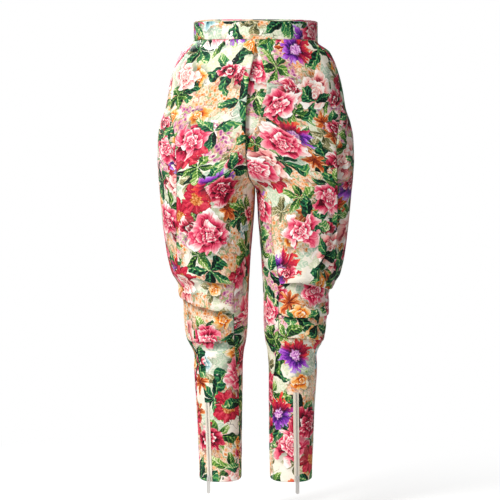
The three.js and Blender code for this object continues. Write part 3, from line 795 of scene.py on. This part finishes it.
class Print(Graph):
    """The print as it is built up: its slightly rippled plane, two mottles and the colour so far.

    A layer's setting is the spacing of its motifs, the turn of their layout in degrees, and its
    shift. Lengths are metres.
    """

    def __init__(self, tree):
        super().__init__(tree)
        cut = self.node("NodeGroupInput")
        self.cloth = cut
        for size, reach in ((0.05, 0.018), (0.012, 0.0035)):
            wander = self.vector("SUBTRACT", self.noise(cut, size, out=1), (0.5, 0.5, 0.5))
            self.cloth = self.vector("ADD", self.cloth, self.vector("SCALE", wander, reach))
        self.fine = self.noise(cut, 0.004, 3.0, 0.6)
        self.broad = self.noise(cut, 0.02, 3.0, 0.6)
        self.colour = self.mix(self.broad, rgb("f3e6cd"), rgb("fdf8ee"))

    def lay(self, mask, colour):
        """Covers the cloth so far with a colour, as far as the mask goes."""
        self.colour = self.mix(mask, self.colour, colour)

    def scattered(self, pitch, turn, shift, jitter=0.85):
        """Motifs strewn over the cloth: the place within the nearest one, and its random numbers."""
        placed_at = self.node("ShaderNodeMapping", None, {
            "Vector": self.cloth, "Location": (shift, shift * 1.7, 0),
            "Rotation": (0, 0, math.radians(turn))})
        colour, position = self.node(
            "ShaderNodeTexVoronoi", {"voronoi_dimensions": "2D", "feature": "F1"},
            {"Vector": placed_at, "Scale": 1.0 / pitch, "Randomness": jitter}, out=("Color", "Position"))
        x, y, _ = self.parts(self.vector("SUBTRACT", placed_at, position))
        return x, y, self.node("ShaderNodeSeparateColor", None, {0: colour}, out=(0, 1, 2))

    def unrolled(self, angle, rho, random, across, down):
        """Turn and logarithm of radius as a place on a cylinder, so that it closes on itself."""
        return self.node("ShaderNodeCombineXYZ", None, {
            0: angle.cos() * across + random * 9.0, 1: angle.sin() * across,
            2: (rho + 0.02).math("LOGARITHM", math.e) * down})

    def streaks(self, angle, rho, random, across, down):
        """Fine lines that run out along the petals."""
        return self.noise(self.unrolled(angle, rho, random, across, down), 1.0, 2.0, 0.6, kind="3D")

    def sketches(self, setting):
        """Sketched leaves in mint, and a few thin twigs."""
        x, y, random = self.scattered(*setting)
        angle, radius = polar(x, y)
        _, fold = sectors(angle + random[0] * math.tau, 7)
        mask, vein = leaf(radius * fold.cos(), radius * fold.sin(), 0.036, 0.0085, 4.5)
        sketch = mask * (0.68 - (vein + (self.fine - 0.5) * 1.4).ease(0.3, 0.9) * 0.4)
        self.lay(sketch, self.ramp(random[1], MINT_SKETCH))
        wave = self.noise(self.cloth, 0.026, 1.0)
        twig = (wave - 0.5).abs().ease(0.012, 0.003) * self.noise(self.cloth, 0.05, 0.0).ease(0.52, 0.60)
        self.lay(twig * 0.85, self.mix(self.fine, rgb("2b3325"), rgb("6b5138")))

    def florets(self, setting, keep):
        """Dense heads of tiny flowers."""
        x, y, random = self.scattered(*setting)
        ragged = away(x, y) + (self.broad - 0.5) * 0.045 + (self.fine - 0.5) * 0.012
        x, y, own = self.scattered(0.0088, setting[1] + 30, 0.17, 0.8)
        angle, radius = polar(x, y)
        reach = ((angle * 2.0 + own[0] * math.tau).cos().abs() ** 0.5) * 0.0016 + 0.0030
        tone = radius / 0.0046 * 0.5 + own[1] * 0.5 + (self.broad - 0.5) * 0.6
        warm, mauve = self.ramp(tone, WARM_FLORET), self.ramp(tone, MAUVE_FLORET)
        floret = self.mix(chosen(random[1], 0.72), warm, mauve)
        cluster = self.mix((reach - radius).ease(-0.0002, 0.0006), self.ramp(own[2], UNDER_FLORET), floret)
        self.lay(ragged.ease(0.045, 0.042) * chosen(random[0], keep), cluster)

    def leaves(self, setting, count, size, keep, stops):
        """Fans of pointed leaves. Their size is length, width and how much the length varies."""
        length, width, variety = size
        x, y, random = self.scattered(*setting)
        angle, radius = polar(x, y)
        wobble = self.noise(self.cloth, 0.03)
        part, fold = sectors(angle + random[0] * math.tau + wobble * 0.9, count)
        reach = (part * 2.4 + random[1] * 9.0).sin() * variety + length
        along, across = radius * fold.cos(), radius * fold.sin()
        mask, vein = leaf(along, across, reach, width, 7.0)
        spine = (across.abs() / width).ease(0.16, 0.04)
        tone = vein.ease(0.3, 0.95) * 0.3 + fold.ease(-0.05, 0.05) * 0.2 + (self.fine - 0.5) * 0.5
        tone = tone + spine * 0.4 + (along / reach).ease(0.2, 1.0) * 0.4
        tone = tone + (part * 3.7 + random[1] * 5.0).sin() * 0.16
        self.lay(mask * chosen(random[2], keep), self.ramp(tone, stops))

    def peonies(self, setting, size, keep, first, second, petals=1.55):
        """Ruffled flowers in two colours, whose petals grow towards their rim, and a soft shadow."""
        x, y, random = self.scattered(*setting)
        angle, radius = polar(x, y)
        wobble = self.noise(self.cloth, size * 0.5)
        rho = radius / (size * (random[2] * 0.3 + 0.78)) * (wobble * 0.5 + 0.75)
        angle = angle + wobble * 1.1
        place = self.unrolled(angle, rho, random[0], 1.0, 0.9)
        cell, hue = self.node(
            "ShaderNodeTexVoronoi", {"voronoi_dimensions": "3D", "feature": "F1"},
            {"Vector": place, "Scale": petals, "Randomness": 0.9}, out=("Position", "Color"))
        height, middle, own = self.parts(place)[2], self.parts(cell)[2], self.parts(hue)[0]
        streak = self.streaks(angle, rho, random[1], 5.0, 0.8)
        tone = (height - middle) * 1.25 + 0.46 + (streak - 0.5) * 1.15 + (own - 0.5) * 0.5
        petal = self.mix(chosen(random[1], sum(keep) / 2), self.ramp(tone, first), self.ramp(tone, second))
        here = chosen(random[1], *keep)
        self.lay(rho.ease(1.3, 0.8) * here * 0.42, rgb("1c3a26"))
        self.lay(middle.below(-0.12) * here, petal)

    def flowers(self, setting, size, petals, slim):
        """Flowers of pointed petals: turn, radius, distance off a petal's middle, streaks, where they
        are, and their random numbers."""
        x, y, random = self.scattered(*setting)
        angle, radius = polar(x, y)
        angle = angle + random[0] * math.tau + self.broad * 0.8
        part, fold = sectors(angle, petals)
        reach = (part * 2.4 + random[1] * 9.0).sin() * 0.14 + 0.86
        rho = radius / size / reach
        half = ((rho * 1.02 + 0.08).least(1.0) * math.pi).sin().most(0.0) ** 0.6 * slim
        off = (rho * fold.sin()).abs()
        mask = (half - off).ease(0.0, 0.02) * rho.below(1.0)
        streak = self.streaks(angle, rho, random[1], 7.0, 0.5)
        return angle, rho, off / (half + 0.01), streak, mask, random

    def lilies(self):
        """Rust lilies."""
        _, rho, off, streak, mask, random = self.flowers((0.105, 63, 1.4), 0.036, 7, 0.20)
        tone = rho * 0.45 + (streak - 0.5) * 1.5 + off * 0.2 + 0.14
        self.lay(mask * chosen(random[1], 0.25, 0.72), self.ramp(tone, LILY))

    def lotuses(self):
        """Broad-petalled crimson flowers with a tawny heart."""
        _, rho, off, streak, mask, random = self.flowers((0.155, 20, 3.3), 0.046, 9, 0.36)
        tone = rho * 0.35 + (streak - 0.5) * 1.2 + (1.0 - off) * 0.45 - 0.06
        heart = self.ramp(streak + self.fine - 0.5, LOTUS_HEART)
        lotus = self.mix(rho.ease(0.34, 0.26), self.ramp(tone, LOTUS), heart)
        self.lay(mask * chosen(random[1], 0.2, 0.7), lotus)

    def spiky_flowers(self):
        """Spiky flowers that turn from violet to scarlet round their rim."""
        angle, rho, _, streak, mask, random = self.flowers((0.175, -52, 5.9), 0.050, 17, 0.15)
        tone = rho * 0.95 + (streak - 0.5) * 0.9 - 0.1
        turned = (angle + random[2] * 4.0).sin().ease(-0.25, 0.35)
        spiky = self.mix(turned, self.ramp(tone, SPIKY_VIOLET), self.ramp(tone, SPIKY_SCARLET))
        spiky = self.mix(rho.ease(0.30, 0.22), spiky, self.ramp(self.fine, SPIKY_CORE))
        self.lay(mask.most(rho.ease(0.42, 0.40)) * chosen(random[1], 0.3, 0.95), spiky)


def floral_group():
    """The whole print as a node group from the cut's coordinates to a colour."""
    tree = node_group("floral print", "ShaderNodeTree", [("Cut", "NodeSocketVector")],
                      ("Colour", "NodeSocketColor"))
    layers = Print(tree)
    layers.sketches((0.058, 12, 0.31))
    layers.leaves((0.074, 14, 6.1), 5, (0.036, 0.009, 0.010), 0.5, OLIVE_LEAF)
    layers.florets((0.100, 47, 0.83), 0.05)
    layers.leaves((0.092, -31, 2.1), 5, (0.056, 0.0125, 0.016), 0.42, DARK_LEAF)
    layers.peonies((0.110, 33, 9.7), 0.026, (0.25, 0.6), PEONY_ICE, PEONY_CRIMSON)
    layers.lilies()
    layers.leaves((0.088, 8, 4.2), 5, (0.046, 0.0095, 0.014), 0.48, FRESH_LEAF)
    layers.lotuses()
    layers.spiky_flowers()
    layers.peonies((0.086, -14, 7.9), 0.021, (0.08, 0.80), POPPY, PEONY_CRIMSON, 1.3)
    layers.peonies((0.112, 25, 5.3), 0.044, (0.20, 0.80), PEONY_PINK, PEONY_BLUSH, 2.0)
    layers.leaves((0.120, 54, 9.2), 3, (0.054, 0.0120, 0.016), 0.4, DARK_LEAF)
    layers.peonies((0.135, 71, 12.4), 0.040, (0.30, 0.85), PEONY_PINK, PEONY_CRIMSON, 1.8)
    # Fine cream flecks, partly the print's dry brush and partly painted glints of the sateen's sheen, then
    # fine dark ink flecks of the print.
    layers.lay(layers.fine.ease(0.58, 0.80) * 0.1, rgb("fbf4e8"))
    layers.lay(layers.fine.ease(0.44, 0.24) * 0.12, rgb("20181a"))
    layers.give(layers.colour)
    return tree


# ------------------------------------------------------------------ materials

class Surface(Graph):
    """A new material's node tree, with a principled surface."""

    def __init__(self, name, slot):
        self.material = bpy.data.materials.new(name)
        self.material.use_nodes = True
        self.material["slot"] = slot
        super().__init__(self.material.node_tree)
        self.shader = self.tree.nodes["Principled BSDF"]

    def own_place(self):
        """The place on the object itself, in metres."""
        return self.node("ShaderNodeTexCoord", out="Object")

    def finished(self, values):
        """Gives the surface its colour, roughness and the rest."""
        for name, value in values.items():
            self.feed(self.shader.inputs[name], value)
        return self.material


def printed_cloth(name, reverse):
    """Soft sateen with the print, or its paler wrong side."""
    shade = Surface(name, "printed_cloth")
    cut = shade.node("ShaderNodeUVMap", {"uv_map": "cut"})
    group = bpy.data.node_groups.get("floral print") or floral_group()
    colour = shade.node("ShaderNodeGroup", {"node_tree": group}, {0: cut})
    if reverse:
        colour = shade.mix(0.55, colour, rgb("efe6da"))
    x, y, _ = shade.parts(cut)
    weave = (x * (math.tau / 0.0007)).sin() * (y * (math.tau / 0.0007)).sin()
    slub = shade.noise(cut, 0.0016, 2.0)
    return shade.finished({
        "Base Color": colour, "Roughness": slub * 0.1 + (0.68 if reverse else 0.52),
        "Specular IOR Level": 0.14, "Normal": shade.bump(0.25, 0.0002, weave * 0.4 + slub)})


def zip_tape(name):
    """Closely woven ivory tape, ribbed along its length, with painted shade in the ribs' troughs."""
    shade = Surface(name, "zip_tape")
    place = shade.own_place()
    x, _, z = shade.parts(place)
    rib = (z * (math.tau / 0.0009)).sin() * 0.5 + (x * (math.tau / 0.0008)).sin() * 0.5
    mottle = shade.noise(place, 0.006, 3.0, kind="3D")
    colour = shade.mix(mottle, rgb("e6d9c6"), rgb("f4eadb"))
    # Painted shade: the tape is darkened where its ribs dip lowest.
    colour = shade.mix(rib.ease(-0.2, -0.9) * 0.35, colour, rgb("b5a990"))
    return shade.finished({"Base Color": colour, "Roughness": 0.8, "Normal": shade.bump(0.5, 0.0002, rib)})


def zip_metal(name):
    """Polished nickel, faintly scuffed."""
    shade = Surface(name, "zip_metal")
    scuff = shade.noise(shade.own_place(), 0.0012, 4.0, 0.65, kind="3D")
    return shade.finished({
        "Base Color": shade.mix(scuff, rgb("d9d6d0"), rgb("f6f4f0")), "Roughness": scuff * 0.2 + 0.3,
        "Metallic": 0.8, "Normal": shade.bump(0.12, 0.00005, scuff)})


def sewing_thread(name):
    """Ivory sewing thread."""
    shade = Surface(name, "zip_tape")
    twist = shade.noise(shade.own_place(), 0.0006, 2.0, kind="3D")
    return shade.finished({"Base Color": shade.mix(twist, rgb("e6dcc8"), rgb("f7f1e6")), "Roughness": 0.6})


def floor_paint(name):
    """Plain pale studio floor, which grows evenly bright away from the garment."""
    shade = Surface(name, "studio")
    place = shade.own_place()
    tone = shade.noise(place, 0.7, 2.0, kind="3D")
    shade.finished({"Base Color": shade.mix(tone, rgb("f6f6f5"), rgb("fbfbfa")), "Roughness": 0.9})
    x, y, _ = shade.parts(place)
    far = away(x, y).ease(-0.6, 1.5)
    glow = shade.node("ShaderNodeEmission", None, {
        "Color": (1.0, 1.0, 1.0, 1.0), "Strength": backdrop_strength(shade, FLOOR_GLOW)})
    paint = Value(shade, shade.shader.outputs[0])
    blend = shade.node("ShaderNodeMixShader", None, {0: far, 1: paint, 2: glow})
    shade.feed(shade.tree.nodes["Material Output"].inputs["Surface"], blend)
    return shade.material


def backdrop_strength(graph, light):
    """Full where the backdrop itself is seen, and less where it lights the garment."""
    return graph.node("ShaderNodeLightPath", out="Is Camera Ray") * (1.0 - light) + light


MATERIALS = {
    "printed cloth": lambda name: printed_cloth(name, False),
    "printed cloth reverse": lambda name: printed_cloth(name, True),
    "zip tape": zip_tape,
    "zip metal": zip_metal,
    "thread": sewing_thread,
    "studio floor": floor_paint,
}


def finish(name):
    """The material of that name, made the first time it is asked for."""
    return bpy.data.materials.get(name) or MATERIALS[name](name)


# ------------------------------------------------------------------ panels

def near(distance, reach):
    """1 at an edge, falling away within the reach."""
    return np.exp(-(distance / reach) ** 2)


def side_edge(level, gap):
    """The turn of a panel's outer edge, beside the side seam."""
    phi = angle_at(level, SIDE_REACH(level))
    return phi + turn_for(level, phi, gap)


def front_edge(side, level):
    """The turn of a front's inner edge: the centre front, and below it the inside leg."""
    phi = angle_at(level, INSIDE_REACH[side](level))
    return np.where(level > CROTCH, angle_at(level, SEAM_GAP / 2), phi - turn_for(level, phi, SEAM_GAP / 2))


def spread(first, last, fractions):
    """Turns across a panel, row by row, at fractions of the way between its edges."""
    return first[:, None] + (last - first)[:, None] * fractions[None, :]


def shaped(rows, points, phi, creases, by_reach, seed, roll, extra):
    """Adds a panel's creases, waves and rolled edges to its form. A tuck's layers move together."""
    rim = np.minimum(*edge_distances(points))
    relief = crease_relief(points, creases, by_reach) + unevenness(points, seed) * smooth(rim / CALM_EDGE)
    for index in range(rows[2].max() + 1):
        at = np.flatnonzero(rows[2] == index)
        above, below = relief[at[0] - 1], relief[at[-1] + 1]
        relief[at] = above + (below - above) * smooth(np.linspace(0, 1, len(at)))[:, None]
    relief -= roll * near(rim, ROLL_REACH)
    level = points[..., 2]
    outward = on_leg(level, phi, 1.0) - on_leg(level, phi, 0.0)
    return points + outward * (relief + extra)[..., None]


def make_front(side, sizes):
    """A front's grid of points, for the left leg's form, with their turns and the wall's shares."""
    rows = panel_rows(side, sizes.pitch / MM)
    seam = rows[1]
    first = front_edge(side, seam)
    if side == "left":
        beside = angle_at(seam, UNDERLAY_WIDTH(seam) + SEAM_GAP)
        first = np.where(seam >= UNDERLAY_END, beside, first)
    phi = spread(first, side_edge(seam, SEAM_GAP / 2), edge_spaced(FRONT_COLUMNS))
    points = placed(side, rows, phi)
    level = points[..., 2]
    from_centre, from_side = edge_distances(points)
    extra = PLEAT_LIFT * smooth((level - UNDERLAY_END) / PLEAT_FADE) * near(from_centre, PLEAT_REACH)
    if side == "left":
        fold = wing_fold(level)
        lap = WING_FOLD["lap"] * fold * near(from_side, WING_FOLD["lap_reach"])
        phi = phi - turn_for(level, phi, lap)
        points = placed(side, rows, phi)
        extra = extra + WING_FOLD["lift"] * fold * near(from_side, WING_FOLD["lift_reach"])
    seed = 1.0 if side == "left" else 2.0
    points = shaped(rows, points, phi, FRONT_CREASES[side], True, seed, sizes.seam_roll / MM, extra)
    return points, phi, wall_shares(side, rows, phi)


def make_back(side, sizes):
    """A back's grid of points, for the left leg's form, with their turns and the wall's shares."""
    rows = panel_rows(side, sizes.pitch / MM)
    seam = rows[1]
    inside = angle_at(seam, INSIDE_REACH[side](seam))
    last = np.where(seam > CROTCH, math.tau - front_edge(side, seam),
                    inside + turn_for(seam, inside, SEAM_GAP / 2))
    phi = spread(math.tau + side_edge(seam, -SEAM_GAP / 2), last, edge_spaced(BACK_COLUMNS))
    points = placed(side, rows, phi)
    extra = 0.0
    if side == "left":
        from_side, _ = edge_distances(points)
        wall = WING_FOLD["wall"]
        sunk = smooth(from_side / wall) * (1 - smooth((from_side - WING_FOLD["floor"]) / WING_FOLD["rise"]))
        under = WING_FOLD["under"] * near(from_side, wall)
        extra = (under - WING_FOLD["depth"] * sunk) * wing_fold(points[..., 2])
    seed = 3.0 if side == "left" else 4.0
    points = shaped(rows, points, phi, BACK_CREASES[side], False, seed, sizes.seam_roll / MM, extra)
    return points, phi, wall_shares(side, rows, phi)


def make_underlay(sizes):
    """The pleat's underlay, set back behind the two fronts."""
    rows = panel_rows("left", sizes.pitch / MM)
    keep = rows[0] >= UNDERLAY_END
    rows = tuple(column[keep] for column in rows)
    seam = rows[1]
    right, left = UNDERLAY_BESIDE
    fractions = np.linspace(0, 1, UNDERLAY_COLUMNS)
    phi = spread(angle_at(seam, -right), angle_at(seam, UNDERLAY_WIDTH(seam) + left), fractions)
    points = placed("left", rows, phi)
    edge, middle = UNDERLAY_BACK
    set_back = edge + middle * np.sin(fractions * math.pi)
    return points - grid_normals(points) * set_back[None, :, None], phi, np.ones(phi.shape)


def add_panel(node, grid, grain, wall):
    """A panel of printed cloth that stands for its CAD node."""
    points, phi, shares = grid
    mirrored = node.endswith("right")
    cut = cut_map(points, phi, math.radians(grain), CUT_OFFSETS[node])
    mesh = mesh_with_cut(node + "_cloth", points, grid_faces(*phi.shape, mirrored), cut, mirrored)
    piece = add_object(node + "_cloth", mesh, finish("printed cloth"), finish("printed cloth reverse"))
    add_wall(piece, wall, shares)
    declare(piece, node)
    width, length = float(np.ptp(cut[..., 0])), float(np.ptp(cut[..., 1]))
    area = min(flat_area(points), width * length)


class JODHPURS_OT_fronts(bpy.types.Operator):
    """Make the two fronts, from waist to hem"""
    bl_idname = "jodhpurs.fronts"
    bl_label = "Fronts"

    def execute(self, context):
        sizes = context.scene.jodhpurs_cloth
        for side in ("left", "right"):
            add_panel("front_" + side, make_front(side, sizes), FRONT_GRAIN, sizes.wall)
        return {"FINISHED"}


class JODHPURS_OT_backs(bpy.types.Operator):
    """Make the two backs, which wrap round to the front of the shin"""
    bl_idname = "jodhpurs.backs"
    bl_label = "Backs"

    def execute(self, context):
        sizes = context.scene.jodhpurs_cloth
        for side in ("left", "right"):
            add_panel("back_" + side, make_back(side, sizes), BACK_GRAIN, sizes.wall)
        return {"FINISHED"}


class JODHPURS_OT_pleat(bpy.types.Operator):
    """Make the underlay of the inverted pleat"""
    bl_idname = "jodhpurs.pleat"
    bl_label = "Pleat underlay"

    def execute(self, context):
        sizes = context.scene.jodhpurs_cloth
        add_panel("front_pleat", make_underlay(sizes), FRONT_GRAIN, sizes.wall)
        return {"FINISHED"}


# ------------------------------------------------------------------ waistband

def band_section():
    """The folded waistband's section: out from its face, and height."""
    half = BAND_HALF
    steps = np.linspace(0, math.pi, 9)
    straight = np.linspace(BAND_TOP - half, BAND_BOTTOM + half, 14)[1:-1]
    top = [(math.cos(t) * half - half, BAND_TOP - half + math.sin(t) * half) for t in steps]
    inside = [(-2 * half, z) for z in straight]
    bottom = [(-math.cos(t) * half - half, BAND_BOTTOM + half - math.sin(t) * half) for t in steps]
    outside = [(0.0, z) for z in straight[::-1]]
    return np.array(top + inside + bottom + outside)


def make_band(node, first, last, columns):
    """A stretch of folded waistband between two turns."""
    section = band_section()
    phi = np.linspace(first, last, columns)
    points = []
    for out, z in section:
        slack = BAND_SLACK * max(0.0, -z / (BAND_HEIGHT / 2))
        line = on_leg(np.full_like(phi, BAND_LEVEL), phi, out + slack)
        line[:, 2] = z - FRONT_DIP * np.maximum(0, np.sin(phi)) ** 2
        points.append(line)
    points = np.array(points)
    points[..., 1] += unevenness(points, 5.0 + first) * BAND_WAVE
    along, around = run_length(points[-1]), run_length(section)
    cut = np.stack(np.meshgrid(along, around), axis=-1) * MM + CUT_OFFSETS[node]

    starts = np.arange(len(section)) * columns
    faces = [(a + j, b + j, b + j + 1, a + j + 1)
             for a, b in zip(starts.tolist(), np.roll(starts, -1).tolist()) for j in range(columns - 1)]
    faces += [starts[::-1].tolist(), (starts + columns - 1).tolist()]
    mesh = mesh_with_cut(node + "_cloth", points, faces, cut, node.endswith("right"))
    bm = bmesh.new()
    bm.from_mesh(mesh)
    bmesh.ops.recalc_face_normals(bm, faces=bm.faces)
    bm.to_mesh(mesh)
    bm.free()
    piece = add_object(node + "_cloth", mesh, finish("printed cloth"))
    declare(piece, node)


class JODHPURS_OT_waistband(bpy.types.Operator):
    """Make the waistband's front and its two backs"""
    bl_idname = "jodhpurs.waistband"
    bl_label = "Waistband"

    def execute(self, context):
        gap = SEAM_GAP / 2 / WAIST_REACH
        make_band("waistband_front", gap, math.pi - gap, 150)
        for side in ("left", "right"):
            make_band("waistband_back_" + side, -gap, gap - math.pi / 2, 76)
        return {"FINISHED"}


# ------------------------------------------------------------------ zips

def zip_line(side, off, across, bottom):
    """Points down a hem zip, with the way out of the cloth at each, in millimetres."""
    place = ZIPS[side]
    levels = np.linspace(place["top"], bottom, ZIP_POINTS)
    t = (levels - place["top"]) / (HEM - place["top"])
    phi = angle_at(levels, place["top_x"] + (place["hem_x"] - place["top_x"]) * t)
    phi = phi - turn_for(levels, phi, across)
    line = on_leg(levels, phi, off)
    facing = line - on_leg(levels, phi, off - 1.0)
    if side == "right":
        line[:, 0] *= -1
        facing[:, 0] *= -1
    return line, facing


def path_object(line, facing):
    """A string of edges that carries the way out of the cloth at each point."""
    mesh = bpy.data.meshes.new("path")
    mesh.from_pydata((line * MM).tolist(), [(i, i + 1) for i in range(len(line) - 1)], [])
    attribute = mesh.attributes.new("facing", "FLOAT_VECTOR", "POINT")
    attribute.data.foreach_set("vector", facing.ravel())
    return add_object("path", mesh)


def bevelled_box(name, size, bevel):
    """A small box with softened edges, centred on the origin, measured in millimetres."""
    bm = bmesh.new()
    bmesh.ops.create_cube(bm, size=1.0)
    bmesh.ops.scale(bm, vec=[side * MM for side in size], verts=bm.verts)
    bmesh.ops.bevel(bm, geom=bm.edges, offset=bevel * MM, segments=1, profile=0.7, affect="EDGES")
    mesh = bpy.data.meshes.new(name)
    bm.to_mesh(mesh)
    bm.free()
    return add_object(name, mesh)


def along_path_tree():
    """Geometry Nodes that repeat a small part along a path, on alternate sides of it."""
    tree = node_group("repeat along path", "GeometryNodeTree", (
        ("Path", "NodeSocketGeometry"), ("Part", "NodeSocketObject"), ("Pitch", "NodeSocketFloat"),
        ("Stagger", "NodeSocketFloat"), ("Finish", "NodeSocketMaterial")), ("Parts", "NodeSocketGeometry"))
    graph = Graph(tree)
    node = graph.node
    path, part, pitch, stagger, material = node("NodeGroupInput", out=(0, 1, 2, 3, 4))
    curve = node("GeometryNodeMeshToCurve", None, {"Mesh": path})
    spaced = node("GeometryNodeResampleCurve", {"mode": "LENGTH"}, {"Curve": curve, "Length": pitch})
    facing = node("GeometryNodeInputNamedAttribute", {"data_type": "FLOAT_VECTOR"}, {"Name": "facing"})
    turn = node("FunctionNodeAxesToRotation", {"primary_axis": "Z", "secondary_axis": "X"},
                {"Primary Axis": facing, "Secondary Axis": node("GeometryNodeInputTangent")})
    shape = node("GeometryNodeObjectInfo", None, {"Object": part}, out="Geometry")
    copies = node("GeometryNodeInstanceOnPoints", None, {
        "Points": spaced, "Instance": shape, "Rotation": turn})
    sign = node("GeometryNodeInputIndex").math("MODULO", 2.0).math("MULTIPLY_ADD", 2.0, -1.0)
    move = node("ShaderNodeCombineXYZ", None, {"Y": sign * stagger})
    shifted = node("GeometryNodeTranslateInstances", None, {"Instances": copies, "Translation": move})
    solid = node("GeometryNodeRealizeInstances", None, {"Geometry": shifted})
    graph.give(node("GeometryNodeSetMaterial", None, {"Geometry": solid, "Material": material}))
    return tree


def repeat_along(name, line, part, pitch, stagger, material):
    """Repeats the part along a zip's line, as one plain mesh object."""
    path = path_object(*line)
    modifier = path.modifiers.new("repeat", "NODES")
    modifier.node_group = bpy.data.node_groups.get("repeat along path") or along_path_tree()
    inputs = [item.identifier for item in modifier.node_group.interface.items_tree if item.in_out == "INPUT"]
    for identifier, value in zip(inputs[1:], (part, pitch, stagger, material)):
        modifier[identifier] = value
    mesh = bpy.data.meshes.new_from_object(path.evaluated_get(bpy.context.evaluated_depsgraph_get()))
    mesh.name = name
    bpy.data.objects.remove(path)
    return add_object(name, mesh)


class JODHPURS_OT_zips(bpy.types.Operator):
    """Make the hem zips' teeth and stitching, and finish their tapes"""
    bl_idname = "jodhpurs.zips"
    bl_label = "Hem zips"

    def execute(self, context):
        sizes = context.scene.jodhpurs_zip
        tooth = bevelled_box("tooth", (0.8, 2.5, 1.3), 0.18)
        stitch = bevelled_box("stitch", (2.2, 0.45, 0.4), 0.16)
        for side in ("left", "right"):
            teeth = repeat_along("zip_%s_teeth" % side, zip_line(side, TEETH_OFF, 0.0, CHAIN_END), tooth,
                                 sizes.tooth_pitch, TEETH_STAGGER * MM, finish("zip metal"))
            declare(teeth, "zip_%s_chain" % side)
            for edge, across in (("inner", STITCHES_ACROSS), ("outer", -STITCHES_ACROSS)):
                line = zip_line(side, STITCHES_OFF, across, STITCHES_END)
                sewn = repeat_along("zip_%s_stitches_%s" % (side, edge), line, stitch,
                                    sizes.stitch_pitch, 0.0, finish("thread"))
                declare(sewn)
                dress("zip_%s_tape_%s" % (side, edge), finish("zip tape"))
        for part in (tooth, stitch):
            bpy.data.objects.remove(part)
        return {"FINISHED"}


class JODHPURS_OT_hardware(bpy.types.Operator):
    """Finish the sliders and pulls"""
    bl_idname = "jodhpurs.hardware"
    bl_label = "Sliders and pulls"

    def execute(self, context):
        for name in ("zip_left", "zip_right", "back_zip"):
            for part in ("_slider", "_pull"):
                dress(name + part, finish("zip metal"))
        return {"FINISHED"}


# ------------------------------------------------------------------ studio

def add_area_light(name, place, size, power):
    """A round light that shines on the garment's middle."""
    data = bpy.data.lights.new(name, "AREA")
    data.shape = "DISK"
    data.size = size
    data.energy = power
    light = add_object(name, data)
    light.location = place
    light.rotation_euler = (Vector(LIGHTS_AIM) - Vector(place)).to_track_quat("-Z", "Y").to_euler()


class JODHPURS_OT_stage(bpy.types.Operator):
    """Set the floor, the lights and the camera"""
    bl_idname = "jodhpurs.stage"
    bl_label = "Studio"

    def execute(self, context):
        scene = context.scene
        studio = scene.jodhpurs_studio
        camera = bpy.data.cameras.new("camera")
        camera.sensor_width = SENSOR
        camera.lens = SENSOR * studio.distance / studio.view_height
        holder = add_object("camera", camera)
        holder.location = Vector(CAMERA_AIM) + Vector((0, -studio.distance, 0))
        holder.rotation_euler = (math.pi / 2, 0, 0)
        scene.camera = holder
        scene.view_settings.view_transform = "Standard"

        bm = bmesh.new()
        bmesh.ops.create_circle(bm, cap_ends=True, radius=FLOOR_RADIUS, segments=96)
        bmesh.ops.translate(bm, vec=(0, 0, CAD_BOX[0][2] - FLOOR_BELOW), verts=bm.verts)
        mesh = bpy.data.meshes.new("floor")
        bm.to_mesh(mesh)
        bm.free()
        add_object("floor", mesh, finish("studio floor"))

        for name, way in (("", 1), ("back ", -1)):
            add_area_light(name + "key", (-1.75, -2.4 * way, 1.6), 0.9, studio.key)
            add_area_light(name + "fill", (-0.4, -3.2 * way, 0.0), 1.6, studio.fill)

        world = bpy.data.worlds.new("studio")
        scene.world = world
        world.use_nodes = True
        shade = Graph(world.node_tree)
        background = world.node_tree.nodes["Background"].inputs
        background["Color"].default_value = (1, 1, 1, 1)
        shade.feed(background["Strength"], backdrop_strength(shade, studio.ambient))
        return {"FINISHED"}


# ------------------------------------------------------------------ the add-on

class JODHPURS_PT_panel(bpy.types.Panel):
    """Lists the pieces and their sizes"""
    bl_label = "Jodhpurs"
    bl_idname = "JODHPURS_PT_panel"
    bl_space_type = "VIEW_3D"
    bl_region_type = "UI"
    bl_category = "Jodhpurs"

    def draw(self, context):
        for name, kind in SETTINGS:
            for key in kind.__annotations__:
                self.layout.prop(getattr(context.scene, name), key)
        for operator in OPERATORS:
            self.layout.operator(operator.bl_idname)


SETTINGS = (
    ("jodhpurs_cloth", JodhpursCloth),
    ("jodhpurs_zip", JodhpursZip),
    ("jodhpurs_studio", JodhpursStudio),
)
OPERATORS = (
    JODHPURS_OT_stage,
    JODHPURS_OT_fronts,
    JODHPURS_OT_pleat,
    JODHPURS_OT_backs,
    JODHPURS_OT_waistband,
    JODHPURS_OT_zips,
    JODHPURS_OT_hardware,
)


def register():
    for _, kind in SETTINGS:
        bpy.utils.register_class(kind)
    for name, kind in SETTINGS:
        setattr(bpy.types.Scene, name, bpy.props.PointerProperty(type=kind))
    for operator in OPERATORS:
        bpy.utils.register_class(operator)
    bpy.utils.register_class(JODHPURS_PT_panel)


def unregister():
    bpy.utils.unregister_class(JODHPURS_PT_panel)
    for operator in reversed(OPERATORS):
        bpy.utils.unregister_class(operator)
    for name, kind in reversed(SETTINGS):
        delattr(bpy.types.Scene, name)
        bpy.utils.unregister_class(kind)


def main():
    register()
    for operator in OPERATORS:
        group, name = operator.bl_idname.split(".")
        getattr(getattr(bpy.ops, group), name)()


if __name__ == "__main__":
    main()
